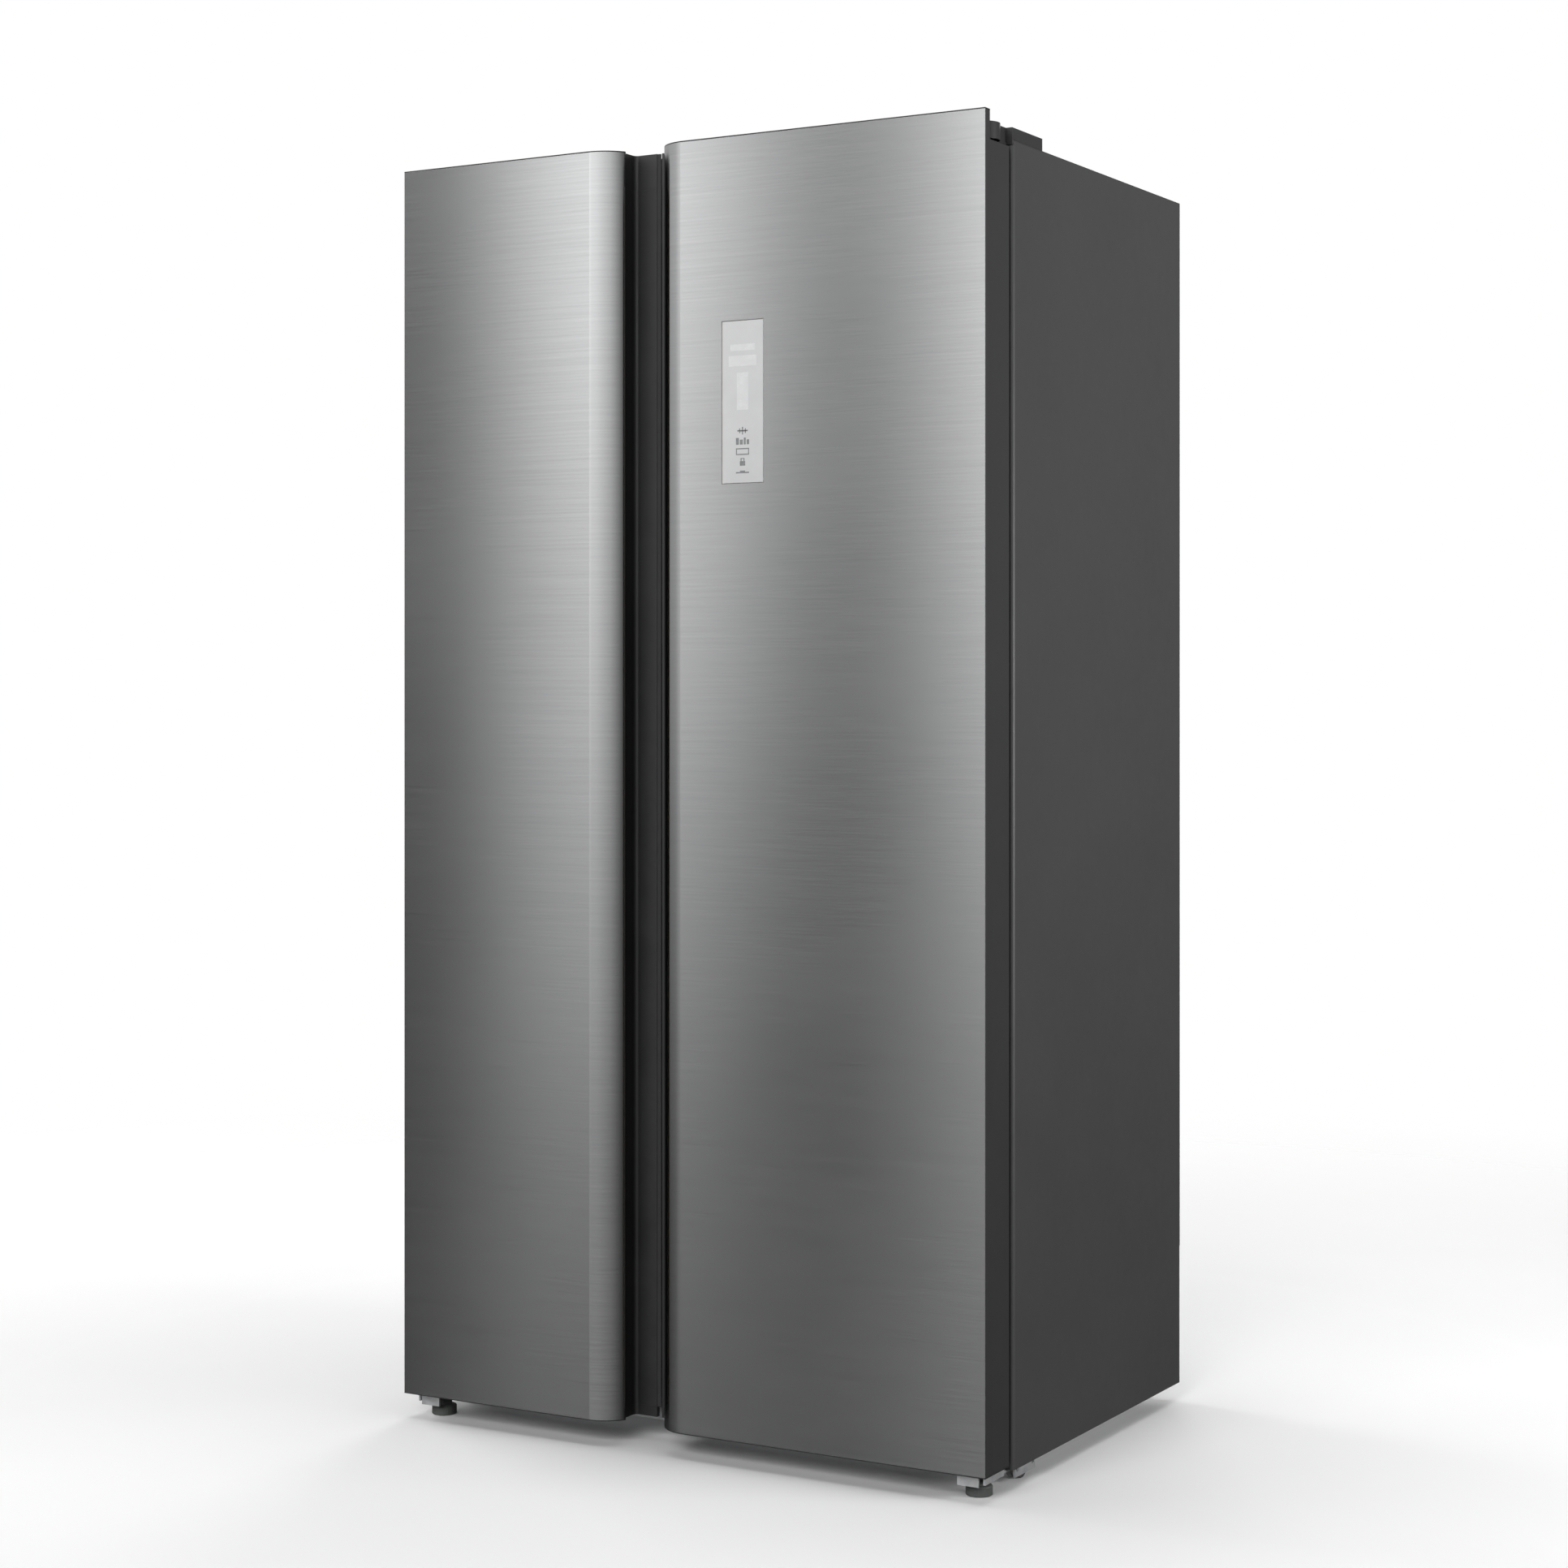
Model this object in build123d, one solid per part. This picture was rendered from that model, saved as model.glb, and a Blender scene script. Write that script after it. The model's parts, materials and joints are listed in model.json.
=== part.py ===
from build123d import *
import math
import os

# Side by side refrigerator, in millimetres. +Z is up, the doors face -Y and +X is to the
# right of somebody who stands in front of it. The origin is on the floor, under the middle
# of the outer size. Paired parts are drawn on the right (+X) and mirrored to the left.

# Outer size
WIDTH = 911
DEPTH = 640
HEIGHT = 1760
SIDE_X = WIDTH / 2
FRONT_Y = -DEPTH / 2
BACK_Y = DEPTH / 2

# Doors
DOOR_BOTTOM = 35
DOOR_THICK = 70
GASKET_GAP = 12
SEAM_X = -69
SEAM_WIDTH = 8
SKIN = 1
SKIN_MARGIN = 1.5
BEND_RADIUS = 53
BEND_DEPTH = 25
BEND_WIDTH = 45
STRIP_WIDTH = 28
GRIP_DEPTH = 63
GRIP_UNDERCUT = 7
GRIP_LIP = 2.4
EDGE_ROOM = 0.6
POCKET_CORNER = 6
GRIP_WALL = 2.5
DOOR_BACK = FRONT_Y + DOOR_THICK

# Cabinet
SHEET = 1
CABINET_FRONT = DOOR_BACK + GASKET_GAP
CABINET_BOTTOM = 27
CABINET_TOP = HEIGHT - 28
CORNER_RADIUS = 6
MACHINE_FRONT = 120
MACHINE_TOP = 225
RIB_PLACES = (-228, 0, 228)
RIB_WIDTH = 30
RIB_DEPTH = 3
TAB_REACH = 30
TAB_DROP = 3

# Insulated compartments: inner faces of the two plastic liners
LINER = 2
FREEZER = (-403, -99)
FRIDGE = (-39, 403)
INSIDE_BOTTOM = 99
INSIDE_TOP = 1672
INSIDE_BACK = 243
STEP_FRONT = 50
STEP_BACK = 95
STEP_TOP = 277
FREEZER_DUCT_Y = 176

# Hinges: the pivot line stands this far in from the side and behind the door face
PIVOT_X = SIDE_X - 22
PIVOT_Y = FRONT_Y + 40
LIP_DEPTH = 14
LIP_DROP = 9
NOTCH_WIDTH = 60
NOTCH_FLOOR = HEIGHT - 38
TOP_PIN = 5
BOTTOM_PIN = 4
BUSH_RADIUS = 9
RUNNING_GAP = 0.05
COVER_TOP = HEIGHT - 12
COVER_BACK = FRONT_Y + 170
COVER_WALL = 2
COVER_NOSE = 21.5
COVER_NECK = 13
COVER_CLEAR = 39
COVER_INNER = 36
ARM = 3

# Feet and rollers
FOOT_X = SIDE_X - 33
FOOT_Y = FRONT_Y + 50
FOOT_RADIUS = 17.5
PAD_TOP = 14
NUT_TOP = 21
STUD_RADIUS = 5
PLATE_TOP = DOOR_BOTTOM - 1
AXLE_RADIUS = 4
FRONT_ROLLER = (427, FRONT_Y + 150, 16, 18)
BRACKET_REACH = 31
REAR_ROLLER = (380, 262, 14, 16)

# Door lining
DYKE_INSET = 45
DYKE_WIDTH = 24
DYKE_DEPTH = 45
DYKE_SHEET = 1.5
DYKE_HINGE_X = 392
DYKE_BOTTOM = 110
DYKE_TOP = 1662
GASKET_WIDTH = 19
GASKET_FREE = 3
GASKET_HINGE = 24
GASKET_BOTTOM = 59
GASKET_TOP = 1718
CAP_SLAB = 14
BOSS_RADIUS = 14
BIN_WALL = 3
LOW_BIN_Y = -178
HIGH_BIN_Y = -145
BINS = (
    (136, 105, LOW_BIN_Y),
    (500, 95, HIGH_BIN_Y),
    (850, 95, HIGH_BIN_Y),
    (1250, 95, HIGH_BIN_Y),
)

# Display in the fridge door
DISPLAY_X = (68.6, 132.1)
DISPLAY_Z = (1300, 1515)
DISPLAY_GAP = 0.5
LENS_SETBACK = 0.3
LENS_THICK = 2
BOARD_THICK = 12

# Shelves, drawers and their rails
SHELF_FRONT = -120
FREEZER_SHELVES = (500, 790, 1080, 1370)
FRIDGE_SHELVES = (490, 740, 990, 1240)
GLASS = 4
DRAWER_FRONT = -85
DRAWER_LIP = 10
DRAWER_WALL = 2.5
DRAWER_SIDE_GAP = 11
RIM = 6
RIM_THICK = 4
LOWER_DRAWER = (108, 280, 42)
UPPER_DRAWER = (300, 462, 160)
RAIL_GAP = 0.5

# Fans
SHAFT_RADIUS = 3
FAN_BLADES = 7
ROTOR_DEPTH = 22
CONDENSER_FAN = (-210, 218, 124)
CONDENSER_FAN_RADIUS = 66
CONDENSER_HUB = 18
MOTOR_ARM = 78
EVAPORATOR_FAN = (-251, 198, 660)
EVAPORATOR_FAN_RADIUS = 46
EVAPORATOR_HUB = 14

# Machine compartment
COMPRESSOR = (240, 218)
COMPRESSOR_RADIUS = 72
COMPRESSOR_HEIGHT = 140
MOUNT_HEIGHT = 14
GLAND = (400, 120)
GLAND_RADIUS = 9
COIL_X = (-430, -262)
COIL_Y = (160, 276)
COIL_Z = (40, 194)
COLD_COIL_X = (-390, -112)
COLD_COIL_Y = (190, 243)
COLD_COIL_Z = (296, 548)


def block(x0, x1, y0, y1, z0, z1):
    """A box between two opposite corners."""
    centre = Pos((x0 + x1) / 2, (y0 + y1) / 2, (z0 + z1) / 2)
    return centre * Box(abs(x1 - x0), abs(y1 - y0), abs(z1 - z0))


def rod(x, y, z0, z1, radius):
    """A vertical cylinder."""
    return Pos(x, y, (z0 + z1) / 2) * Cylinder(radius, abs(z1 - z0))


def rod_x(x0, x1, y, z, radius):
    """A cylinder along X."""
    return Pos((x0 + x1) / 2, y, z) * Rot(0, 90, 0) * Cylinder(radius, abs(x1 - x0))


def rod_y(x, y0, y1, z, radius):
    """A cylinder along Y."""
    return Pos(x, (y0 + y1) / 2, z) * Rot(90, 0, 0) * Cylinder(radius, abs(y1 - y0))


def fused(shapes):
    """All the shapes joined into one."""
    whole = shapes[0]
    for shape in shapes[1:]:
        whole = whole + shape
    return whole


def upright(face, z0, z1):
    """A face of the XY plane drawn up between two heights."""
    return extrude(Pos(0, 0, z0) * face, z1 - z0)


def upright_edges(shape, x, y):
    """The vertical edges of a shape that stand at one point of the plan."""
    def near(edge):
        return abs(edge.center().X - x) < 0.1 and abs(edge.center().Y - y) < 0.1

    return shape.edges().filter_by(Axis.Z).filter_by(near)


def left_of(shape):
    """The mirror image of a right hand part."""
    return mirror(shape, about=Plane.YZ)


# ---------------------------------------------------------------- cabinet shell


def side_panel():
    """Right hand side sheet, folded round to the front as the gasket's sealing face."""
    top = CABINET_TOP - SHEET
    inner_x = FRIDGE[1] + 1
    back = BACK_Y - SHEET
    outer = block(inner_x, SIDE_X, CABINET_FRONT, back, CABINET_BOTTOM, top)
    outer = fillet(upright_edges(outer, SIDE_X, CABINET_FRONT), CORNER_RADIUS)
    inside_x = SIDE_X - SHEET
    inside_y = CABINET_FRONT + SHEET
    inner = block(inner_x - 1, inside_x, inside_y, back + 1, CABINET_BOTTOM - 1, top + 1)
    inner = fillet(upright_edges(inner, inside_x, inside_y), CORNER_RADIUS - SHEET)
    return outer - inner


def top_panel():
    """Top sheet, its flange turned down at the front, and a tab turned up behind the seam."""
    sheet = block(-SIDE_X, SIDE_X, CABINET_FRONT, BACK_Y, CABINET_TOP - SHEET, CABINET_TOP)
    corners = upright_edges(sheet, SIDE_X, CABINET_FRONT) + upright_edges(sheet, -SIDE_X, CABINET_FRONT)
    sheet = fillet(corners, CORNER_RADIUS)
    reach = FRIDGE[1] + 1
    flange = block(
        -reach, reach, CABINET_FRONT, CABINET_FRONT + SHEET, INSIDE_TOP + 1, CABINET_TOP - SHEET
    )
    tab = block(
        SEAM_X - TAB_REACH,
        SEAM_X + TAB_REACH,
        CABINET_FRONT,
        CABINET_FRONT + SHEET,
        CABINET_TOP - SHEET,
        HEIGHT - TAB_DROP,
    )
    return sheet + flange + tab


def rib_boxes(grow, front, back):
    """The places of the upright ribs pressed into the back panel."""
    half = RIB_WIDTH / 2 + grow
    low = MACHINE_TOP + 60 - grow
    high = CABINET_TOP - 60 + grow
    return [block(x - half, x + half, front, back, low, high) for x in RIB_PLACES]


def back_panel():
    """Back sheet with upright ribs pressed inwards."""
    front = BACK_Y - SHEET
    sheet = block(-SIDE_X, SIDE_X, front, BACK_Y, MACHINE_TOP, CABINET_TOP - SHEET)
    for rib in rib_boxes(SHEET, front - RIB_DEPTH, front):
        sheet = sheet + rib
    for groove in rib_boxes(0, front - RIB_DEPTH + SHEET, BACK_Y + 1):
        sheet = sheet - groove
    return sheet


def roller_well(roller):
    """Room above one roller, cut up into the cabinet."""
    x, y, radius, width = roller
    half = width / 2 + 3
    reach = radius + 5
    top = 2 * radius + 5
    return block(x - half, x + half, y - reach, y + reach, CABINET_BOTTOM - 1, top)


def base_pan():
    """Bottom sheet: front rail, floor, and the step over the machine compartment."""
    inside_x = SIDE_X - SHEET
    reach = FRIDGE[1] + 1
    rail = block(-reach, reach, CABINET_FRONT, CABINET_FRONT + SHEET, CABINET_BOTTOM, INSIDE_BOTTOM - 1)
    floor_z = CABINET_BOTTOM + SHEET
    floor = block(
        -inside_x, inside_x, CABINET_FRONT + SHEET, MACHINE_FRONT + SHEET, CABINET_BOTTOM, floor_z
    )
    corners = upright_edges(floor, inside_x, CABINET_FRONT + SHEET)
    corners = corners + upright_edges(floor, -inside_x, CABINET_FRONT + SHEET)
    floor = fillet(corners, CORNER_RADIUS - SHEET)
    riser = block(-inside_x, inside_x, MACHINE_FRONT, MACHINE_FRONT + SHEET, floor_z, MACHINE_TOP)
    roof = block(-inside_x, inside_x, MACHINE_FRONT, BACK_Y - SHEET, MACHINE_TOP, MACHINE_TOP + SHEET)
    well = roller_well(FRONT_ROLLER)
    return rail + floor + riser + roof - well - left_of(well)


def mullion_cover():
    """Steel strip on the divider between the compartments, where both gaskets seal."""
    left, right = FREEZER[1] + 1, FRIDGE[0] - 1
    bottom, top = INSIDE_BOTTOM - 1, INSIDE_TOP + 1
    return block(left, right, CABINET_FRONT, CABINET_FRONT + SHEET, bottom, top)


def compartment(span, grow, front):
    """The room of one compartment, stepped up over the machine compartment."""
    slope = grow * 0.75
    outline = [
        (front, INSIDE_BOTTOM - grow),
        (STEP_FRONT + slope, INSIDE_BOTTOM - grow),
        (STEP_BACK + slope, STEP_TOP - grow),
        (INSIDE_BACK + grow, STEP_TOP - grow),
        (INSIDE_BACK + grow, INSIDE_TOP + grow),
        (front, INSIDE_TOP + grow),
    ]
    face = make_face(Plane.YZ * Polyline(*outline, close=True))
    left = span[0] - grow
    return Pos(left, 0, 0) * extrude(face, span[1] + grow - left, dir=(1, 0, 0))


def liner(span):
    """Plastic liner of one compartment, with a flange behind the sealing faces."""
    front = CABINET_FRONT + SHEET
    flange_reach = 10 + LINER
    flange = block(
        span[0] - flange_reach,
        span[1] + flange_reach,
        front,
        front + LINER,
        INSIDE_BOTTOM - flange_reach,
        INSIDE_TOP + flange_reach,
    )
    return compartment(span, LINER, front) + flange - compartment(span, 0, front - 1)


def machine_room():
    """The space at the lower back that holds the compressor."""
    return block(-SIDE_X, SIDE_X, MACHINE_FRONT, BACK_Y, CABINET_BOTTOM, MACHINE_TOP + SHEET)


def cabinet_foam(liners):
    """Insulation between the steel shell and the two liners."""
    inside_x = SIDE_X - SHEET
    foam = block(
        -inside_x,
        inside_x,
        CABINET_FRONT + SHEET,
        BACK_Y - SHEET,
        CABINET_BOTTOM + SHEET,
        CABINET_TOP - SHEET,
    )
    corners = upright_edges(foam, inside_x, CABINET_FRONT + SHEET)
    corners = corners + upright_edges(foam, -inside_x, CABINET_FRONT + SHEET)
    foam = fillet(corners, CORNER_RADIUS - SHEET)
    well = roller_well(FRONT_ROLLER)
    foam = foam - machine_room() - well - left_of(well)
    for span in (FREEZER, FRIDGE):
        foam = foam - compartment(span, LINER, CABINET_FRONT)
    for piece in liners:
        foam = foam - piece
    for rib in rib_boxes(SHEET, BACK_Y - SHEET - RIB_DEPTH, BACK_Y):
        foam = foam - rib
    return foam


# ---------------------------------------------------------------- hinges, feet and rollers


def hinge_plan(nose, left, strip_right, rear_right, rear_front, rear_back):
    """Plan of a top hinge part: a nose round the pivot, a neck and a wider rear plate."""
    pivot = Pos(PIVOT_X, PIVOT_Y)
    neck_left = PIVOT_X - nose
    neck = Pos((neck_left + strip_right) / 2, (PIVOT_Y + rear_front) / 2) * Rectangle(
        strip_right - neck_left, rear_front - PIVOT_Y
    )
    rear = Pos((left + rear_right) / 2, (rear_front + rear_back) / 2) * Rectangle(
        rear_right - left, rear_back - rear_front
    )
    return pivot * Circle(nose) + neck + rear


def top_hinge():
    """Right upper hinge: arm screwed to the cabinet top, with the pin that hangs from it."""
    bottom = CABINET_TOP
    top = bottom + ARM
    plan = hinge_plan(14, PIVOT_X - 31, PIVOT_X + 8, PIVOT_X + 15, CABINET_FRONT + 2, COVER_BACK - 8)
    arm = upright(plan, bottom, top)
    pin = rod(PIVOT_X, PIVOT_Y, NOTCH_FLOOR - 20, bottom, TOP_PIN)
    bolts = []
    for x, y in ((-22, 60), (6, 60), (-8, 96)):
        bolts.append(rod(PIVOT_X + x, PIVOT_Y + y, top, top + 5, 6))
    return Compound(children=[arm + pin, *bolts])


def hinge_cover():
    """Right hinge cover: a cap over the arm that reaches forward into the door's notch."""
    left = PIVOT_X - COVER_INNER
    right = PIVOT_X + COVER_NECK
    front = PIVOT_Y + COVER_CLEAR
    wall = COVER_WALL
    outer_plan = hinge_plan(COVER_NOSE, left, right, SIDE_X, front, COVER_BACK)
    inner_plan = hinge_plan(
        COVER_NOSE - wall, left + wall, right - wall, SIDE_X - wall, front + wall, COVER_BACK - wall
    )
    skirt = NOTCH_FLOOR + 4
    cap = upright(outer_plan, skirt, COVER_TOP)
    cap = cap - block(0, WIDTH, CABINET_FRONT - 0.3, BACK_Y, skirt - 1, CABINET_TOP)
    hollow = upright(inner_plan, skirt - 1, COVER_TOP - COVER_WALL)
    return cap - hollow


def cheek_pair(roller, half_inside, thick, y0, y1, z0, z1):
    """The two upright plates of a roller bracket, with the axle hole and lightening holes."""
    x, y, radius, _ = roller
    plates = []
    for sign in (-1, 1):
        near = x + sign * half_inside
        far = near + sign * thick
        plate = block(near, far, y0, y1, z0, z1)
        for hole_y in (y0 + 8, y1 - 8):
            plate = plate - rod_x(near - thick, far + thick, hole_y, (z0 + z1) / 2 + 2, 3.5)
        plates.append(plate)
    return plates


def bottom_hinge():
    """Right lower hinge: door plate, pin, foot boss and the cheeks of the front roller."""
    thick = 3
    left = SIDE_X - 50
    right = SIDE_X - 10
    front = FRONT_Y + 17
    joggle = DOOR_BACK + 3
    low_top = CABINET_BOTTOM
    back = FRONT_ROLLER[1] + BRACKET_REACH
    x, y, radius, width = FRONT_ROLLER
    gap = radius + 5
    plate = block(left, right, front, joggle + thick, PLATE_TOP - thick, PLATE_TOP)
    corners = upright_edges(plate, left, front) + upright_edges(plate, right, front)
    plate = fillet(corners, 4)
    flange = block(left + 2, left + 32, front, front + thick, PLATE_TOP - 16, PLATE_TOP - thick)
    side = block(right - thick, right, front + 4, joggle + thick, PLATE_TOP - 13, PLATE_TOP - thick)
    wall = block(left, right, joggle, joggle + thick, low_top - thick, PLATE_TOP - thick)
    low_plate = block(left, right, joggle + thick, back, low_top - thick, low_top)
    half_inside = width / 2 + 1.5
    opening = block(x - half_inside, x + half_inside, y - gap, y + gap, low_top - thick - 1, low_top + 1)
    cheeks = cheek_pair(FRONT_ROLLER, half_inside, 2.5, y - BRACKET_REACH, back, 7, low_top - thick)
    boss = rod(FOOT_X, FOOT_Y, PLATE_TOP - 9, PLATE_TOP - thick, 9)
    bore = rod(FOOT_X, FOOT_Y, PLATE_TOP - 10, PLATE_TOP + 1, STUD_RADIUS + RUNNING_GAP)
    pin = rod(PIVOT_X, PIVOT_Y, PLATE_TOP - thick, PLATE_TOP + 20, BOTTOM_PIN)
    bracket = fused([plate, flange, side, wall, low_plate - opening, *cheeks, boss, pin])
    axle = rod_x(x - half_inside - 2.5, x + half_inside + 2.5, y, radius, AXLE_RADIUS)
    return bracket + axle - bore


def rear_roller_bracket():
    """Right rear roller's bracket and axle, under the machine tray."""
    x, y, radius, width = REAR_ROLLER
    half_inside = width / 2 + 1.5
    thick = 2.5
    top = CABINET_BOTTOM
    reach = radius + 14
    plate = block(x - half_inside - 12, x + half_inside + 12, y - reach, y + reach, top - thick, top)
    gap = radius + 4
    opening = block(x - half_inside, x + half_inside, y - gap, y + gap, top - thick - 1, top + 1)
    cheeks = cheek_pair(REAR_ROLLER, half_inside, thick, y - reach, y + reach, 5, top - thick)
    axle = rod_x(x - half_inside - thick, x + half_inside + thick, y, radius, AXLE_RADIUS)
    return fused([plate - opening, *cheeks, axle])


def roller(place):
    """Plastic roller with a tread groove, turning on its axle."""
    x, y, radius, width = place
    wheel = rod_x(x - width / 2, x + width / 2, y, radius, radius)
    wheel = chamfer(wheel.edges().filter_by(GeomType.CIRCLE), 1)
    groove = rod_x(x - 1, x + 1, y, radius, radius + 1) - rod_x(x - 1, x + 1, y, radius, radius - 1)
    return wheel - groove - rod_x(x - width, x + width, y, radius, AXLE_RADIUS + RUNNING_GAP)


def front_foot():
    """Levelling foot: pad, hexagon and threaded stud."""
    pad = rod(FOOT_X, FOOT_Y, 0, PAD_TOP, FOOT_RADIUS)
    pad = chamfer(pad.edges().filter_by(GeomType.CIRCLE), 1.5)
    hexagon = upright(Pos(FOOT_X, FOOT_Y) * RegularPolygon(12, 6), PAD_TOP, NUT_TOP)
    stud = rod(FOOT_X, FOOT_Y, NUT_TOP, PLATE_TOP, STUD_RADIUS)
    return pad + hexagon + stud


# ---------------------------------------------------------------- machine compartment


def machine_tray():
    """Steel tray that carries the compressor and closes the compartment from below."""
    inside_x = SIDE_X - SHEET
    tray = block(
        -inside_x, inside_x, MACHINE_FRONT + SHEET, BACK_Y - SHEET, CABINET_BOTTOM, CABINET_BOTTOM + 2
    )
    well = roller_well(REAR_ROLLER)
    return tray - well - left_of(well)


def compressor():
    """Hermetic compressor on four rubber feet, with its terminal cover."""
    x, y = COMPRESSOR
    floor = CABINET_BOTTOM + 2
    plate_z = floor + MOUNT_HEIGHT
    shell_z = plate_z + 3
    plate = block(x - 95, x + 95, y - 62, y + 62, plate_z, shell_z)
    shell = rod(x, y, shell_z, shell_z + COMPRESSOR_HEIGHT, COMPRESSOR_RADIUS)
    shell = fillet(shell.edges().filter_by(GeomType.CIRCLE), 30)
    terminals = block(x - 98, x - 60, y - 25, y + 25, plate_z + 30, plate_z + 90)
    feet = []
    for dx in (-80, 80):
        for dy in (-48, 48):
            feet.append(rod(x + dx, y + dy, floor, plate_z, 13))
    return Compound(children=[plate + shell + terminals, *feet])


def serpentine(points, radius, bend):
    """One tube along a path that bends at every inner point."""
    path = FilletPolyline(*points, radius=bend)
    return sweep(Plane(origin=path @ 0, z_dir=path % 0) * Circle(radius), path=path)


def finned_coil(x0, x1, y_rows, z0, rows, pitch, tube, fin_y, fin_z, fin_gap):
    """Rows of tube joined by bends, through a pack of upright fins."""
    parts = []
    for y in y_rows:
        points = []
        for row in range(rows):
            z = z0 + row * pitch
            ends = (x0, x1) if row % 2 == 0 else (x1, x0)
            points += [(end, y, z) for end in ends]
        parts.append(serpentine(points, tube, 0.45 * pitch))
    count = int((x1 - x0 - 60) / fin_gap)
    for index in range(count + 1):
        x = x0 + 30 + index * fin_gap
        parts.append(block(x, x + 1, *fin_y, *fin_z))
    return fused(parts)


def condenser():
    """Finned condenser on end plates, at the left of the machine compartment."""
    floor = CABINET_BOTTOM + 2
    rows_y = (COIL_Y[0] + 20, COIL_Y[1] - 20)
    coil = finned_coil(*COIL_X, rows_y, COIL_Z[0] + 12, 6, 26, 3, COIL_Y, COIL_Z, 12)
    ends = [block(x, x + 2, *COIL_Y, floor, COIL_Z[1]) for x in (COIL_X[0] + 28, COIL_X[1] - 32)]
    return fused([coil, *ends])


def fan_rotor(radius, hub_radius, depth):
    """Axial rotor about Z: a hub with tilted blades and a bore for the shaft."""
    hub = Cylinder(hub_radius, depth)
    blade_space = Cylinder(radius, depth)
    blade = Pos((radius + hub_radius) / 2 - 2, 0, 0) * Rot(35, 0, 0)
    blade = blade * Box(radius - hub_radius + 8, radius * 0.62, 2)
    whole = hub
    for index in range(FAN_BLADES):
        whole = whole + (Rot(0, 0, index * 360 / FAN_BLADES) * blade & blade_space)
    return whole - Cylinder(SHAFT_RADIUS + RUNNING_GAP, depth + 2)


def condenser_fan_shroud():
    """Plate with the fan's round opening, and the motor on three arms behind the rotor."""
    x, y, z = CONDENSER_FAN
    floor = CABINET_BOTTOM + 2
    plate_x = x - ROTOR_DEPTH / 2 - 8
    plate = block(plate_x, plate_x + 2, MACHINE_FRONT + SHEET + 2, 306, floor, MACHINE_TOP - 4)
    plate = plate - rod_x(plate_x - 5, plate_x + 5, y, z, CONDENSER_FAN_RADIUS + 4)
    motor_x = x + ROTOR_DEPTH / 2 + 6
    motor = rod_x(motor_x, motor_x + 34, y, z, 24)
    shaft = rod_x(x - ROTOR_DEPTH / 2 - 3, motor_x, y, z, SHAFT_RADIUS)
    arms = []
    far = MOTOR_ARM
    for dy in (-far, far):
        for dz in (-far, far):
            arms.append(block(plate_x + 2, motor_x + 8, y + dy - 4, y + dy + 4, z + dz - 4, z + dz + 4))
    for dz in (-far, far):
        arms.append(block(motor_x, motor_x + 8, y - far - 4, y + far + 4, z + dz - 4, z + dz + 4))
    arms.append(block(motor_x, motor_x + 8, y - 4, y + 4, z - far, z + far))
    return fused([plate, motor, shaft, *arms])


def drain_tray():
    """Open pan that catches the defrost water between the fan and the compressor."""
    floor = CABINET_BOTTOM + 2
    pan = block(-130, 120, 140, 300, floor, floor + 36)
    return pan - block(-128, 118, 142, 298, floor + 2, floor + 37)


def compressor_cover():
    """Louvred cover of the machine compartment, set a little in from the back."""
    y = BACK_Y - 8
    half = SIDE_X - SHEET
    cover = block(-half, half, y, y + SHEET, CABINET_BOTTOM + 2, MACHINE_TOP)
    for row in range(5):
        z = 70 + row * 30
        for column in range(14):
            x = -400 + column * 52
            cover = cover - block(x, x + 38, y - 1, y + SHEET + 1, z, z + 8)
    return cover - rod_y(GLAND[0], y - 1, y + SHEET + 1, GLAND[1], GLAND_RADIUS + RUNNING_GAP)


def cord_gland():
    """Rubber gland where the supply cord enters the cover."""
    x, z = GLAND
    y = BACK_Y - 8
    gland = rod_y(x, y - 6, y + SHEET, z, GLAND_RADIUS)
    flange = rod_y(x, y + SHEET, y + 5, z, GLAND_RADIUS + 4)
    return gland + flange - rod_y(x, y - 7, y + 6, z, GLAND_RADIUS / 2)


# ---------------------------------------------------------------- inside the compartments


def shelves(span, back, levels):
    """Glass shelves in plastic frames that rest between the liner walls."""
    pieces = []
    for z in levels:
        frame = block(span[0], span[1], SHELF_FRONT, back, z - 8, z + GLASS)
        hole = block(span[0] + 12, span[1] - 12, SHELF_FRONT + 18, back - 12, z - 9, z + GLASS + 1)
        pane = (span[0] + 5, span[1] - 5, SHELF_FRONT + 10, back - 5)
        frame = frame - hole - block(*pane, z, z + GLASS + 1)
        pieces += [frame, block(*pane, z, z + GLASS)]
    return Compound(children=pieces)


def drawer(span, size):
    """Open drawer with a sliding rim on both sides and a pull lip at the front."""
    z0, z1, back = size
    left = span[0] + DRAWER_SIDE_GAP
    right = span[1] - DRAWER_SIDE_GAP
    wall = DRAWER_WALL
    box = block(left, right, DRAWER_FRONT, back, z0, z1)
    rim = block(left - RIM, right + RIM, DRAWER_FRONT, back, z1 - RIM_THICK, z1)
    lip = block(left, right, DRAWER_FRONT - DRAWER_LIP, DRAWER_FRONT, z1 - 26, z1 - 23)
    hook = block(left, right, DRAWER_FRONT - DRAWER_LIP, DRAWER_FRONT - DRAWER_LIP + 3, z1 - 36, z1 - 26)
    room = block(left + wall, right - wall, DRAWER_FRONT + 2 * wall, back - wall, z0 + wall, z1 + 1)
    return box + rim + lip + hook - room


def drawer_rails():
    """Ledges on the liner walls under the drawers' rims."""
    pieces = []
    for span in (FREEZER, FRIDGE):
        for z0, z1, back in (LOWER_DRAWER, UPPER_DRAWER):
            top = z1 - RIM_THICK - RAIL_GAP
            for wall_x, sign in ((span[0], 1), (span[1], -1)):
                inner = wall_x + sign * (DRAWER_SIDE_GAP - 2)
                x0, x1 = sorted((wall_x, inner))
                pieces.append(block(x0, x1, DRAWER_FRONT, min(back, 38), top - 12, top))
    return Compound(children=pieces)


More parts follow.
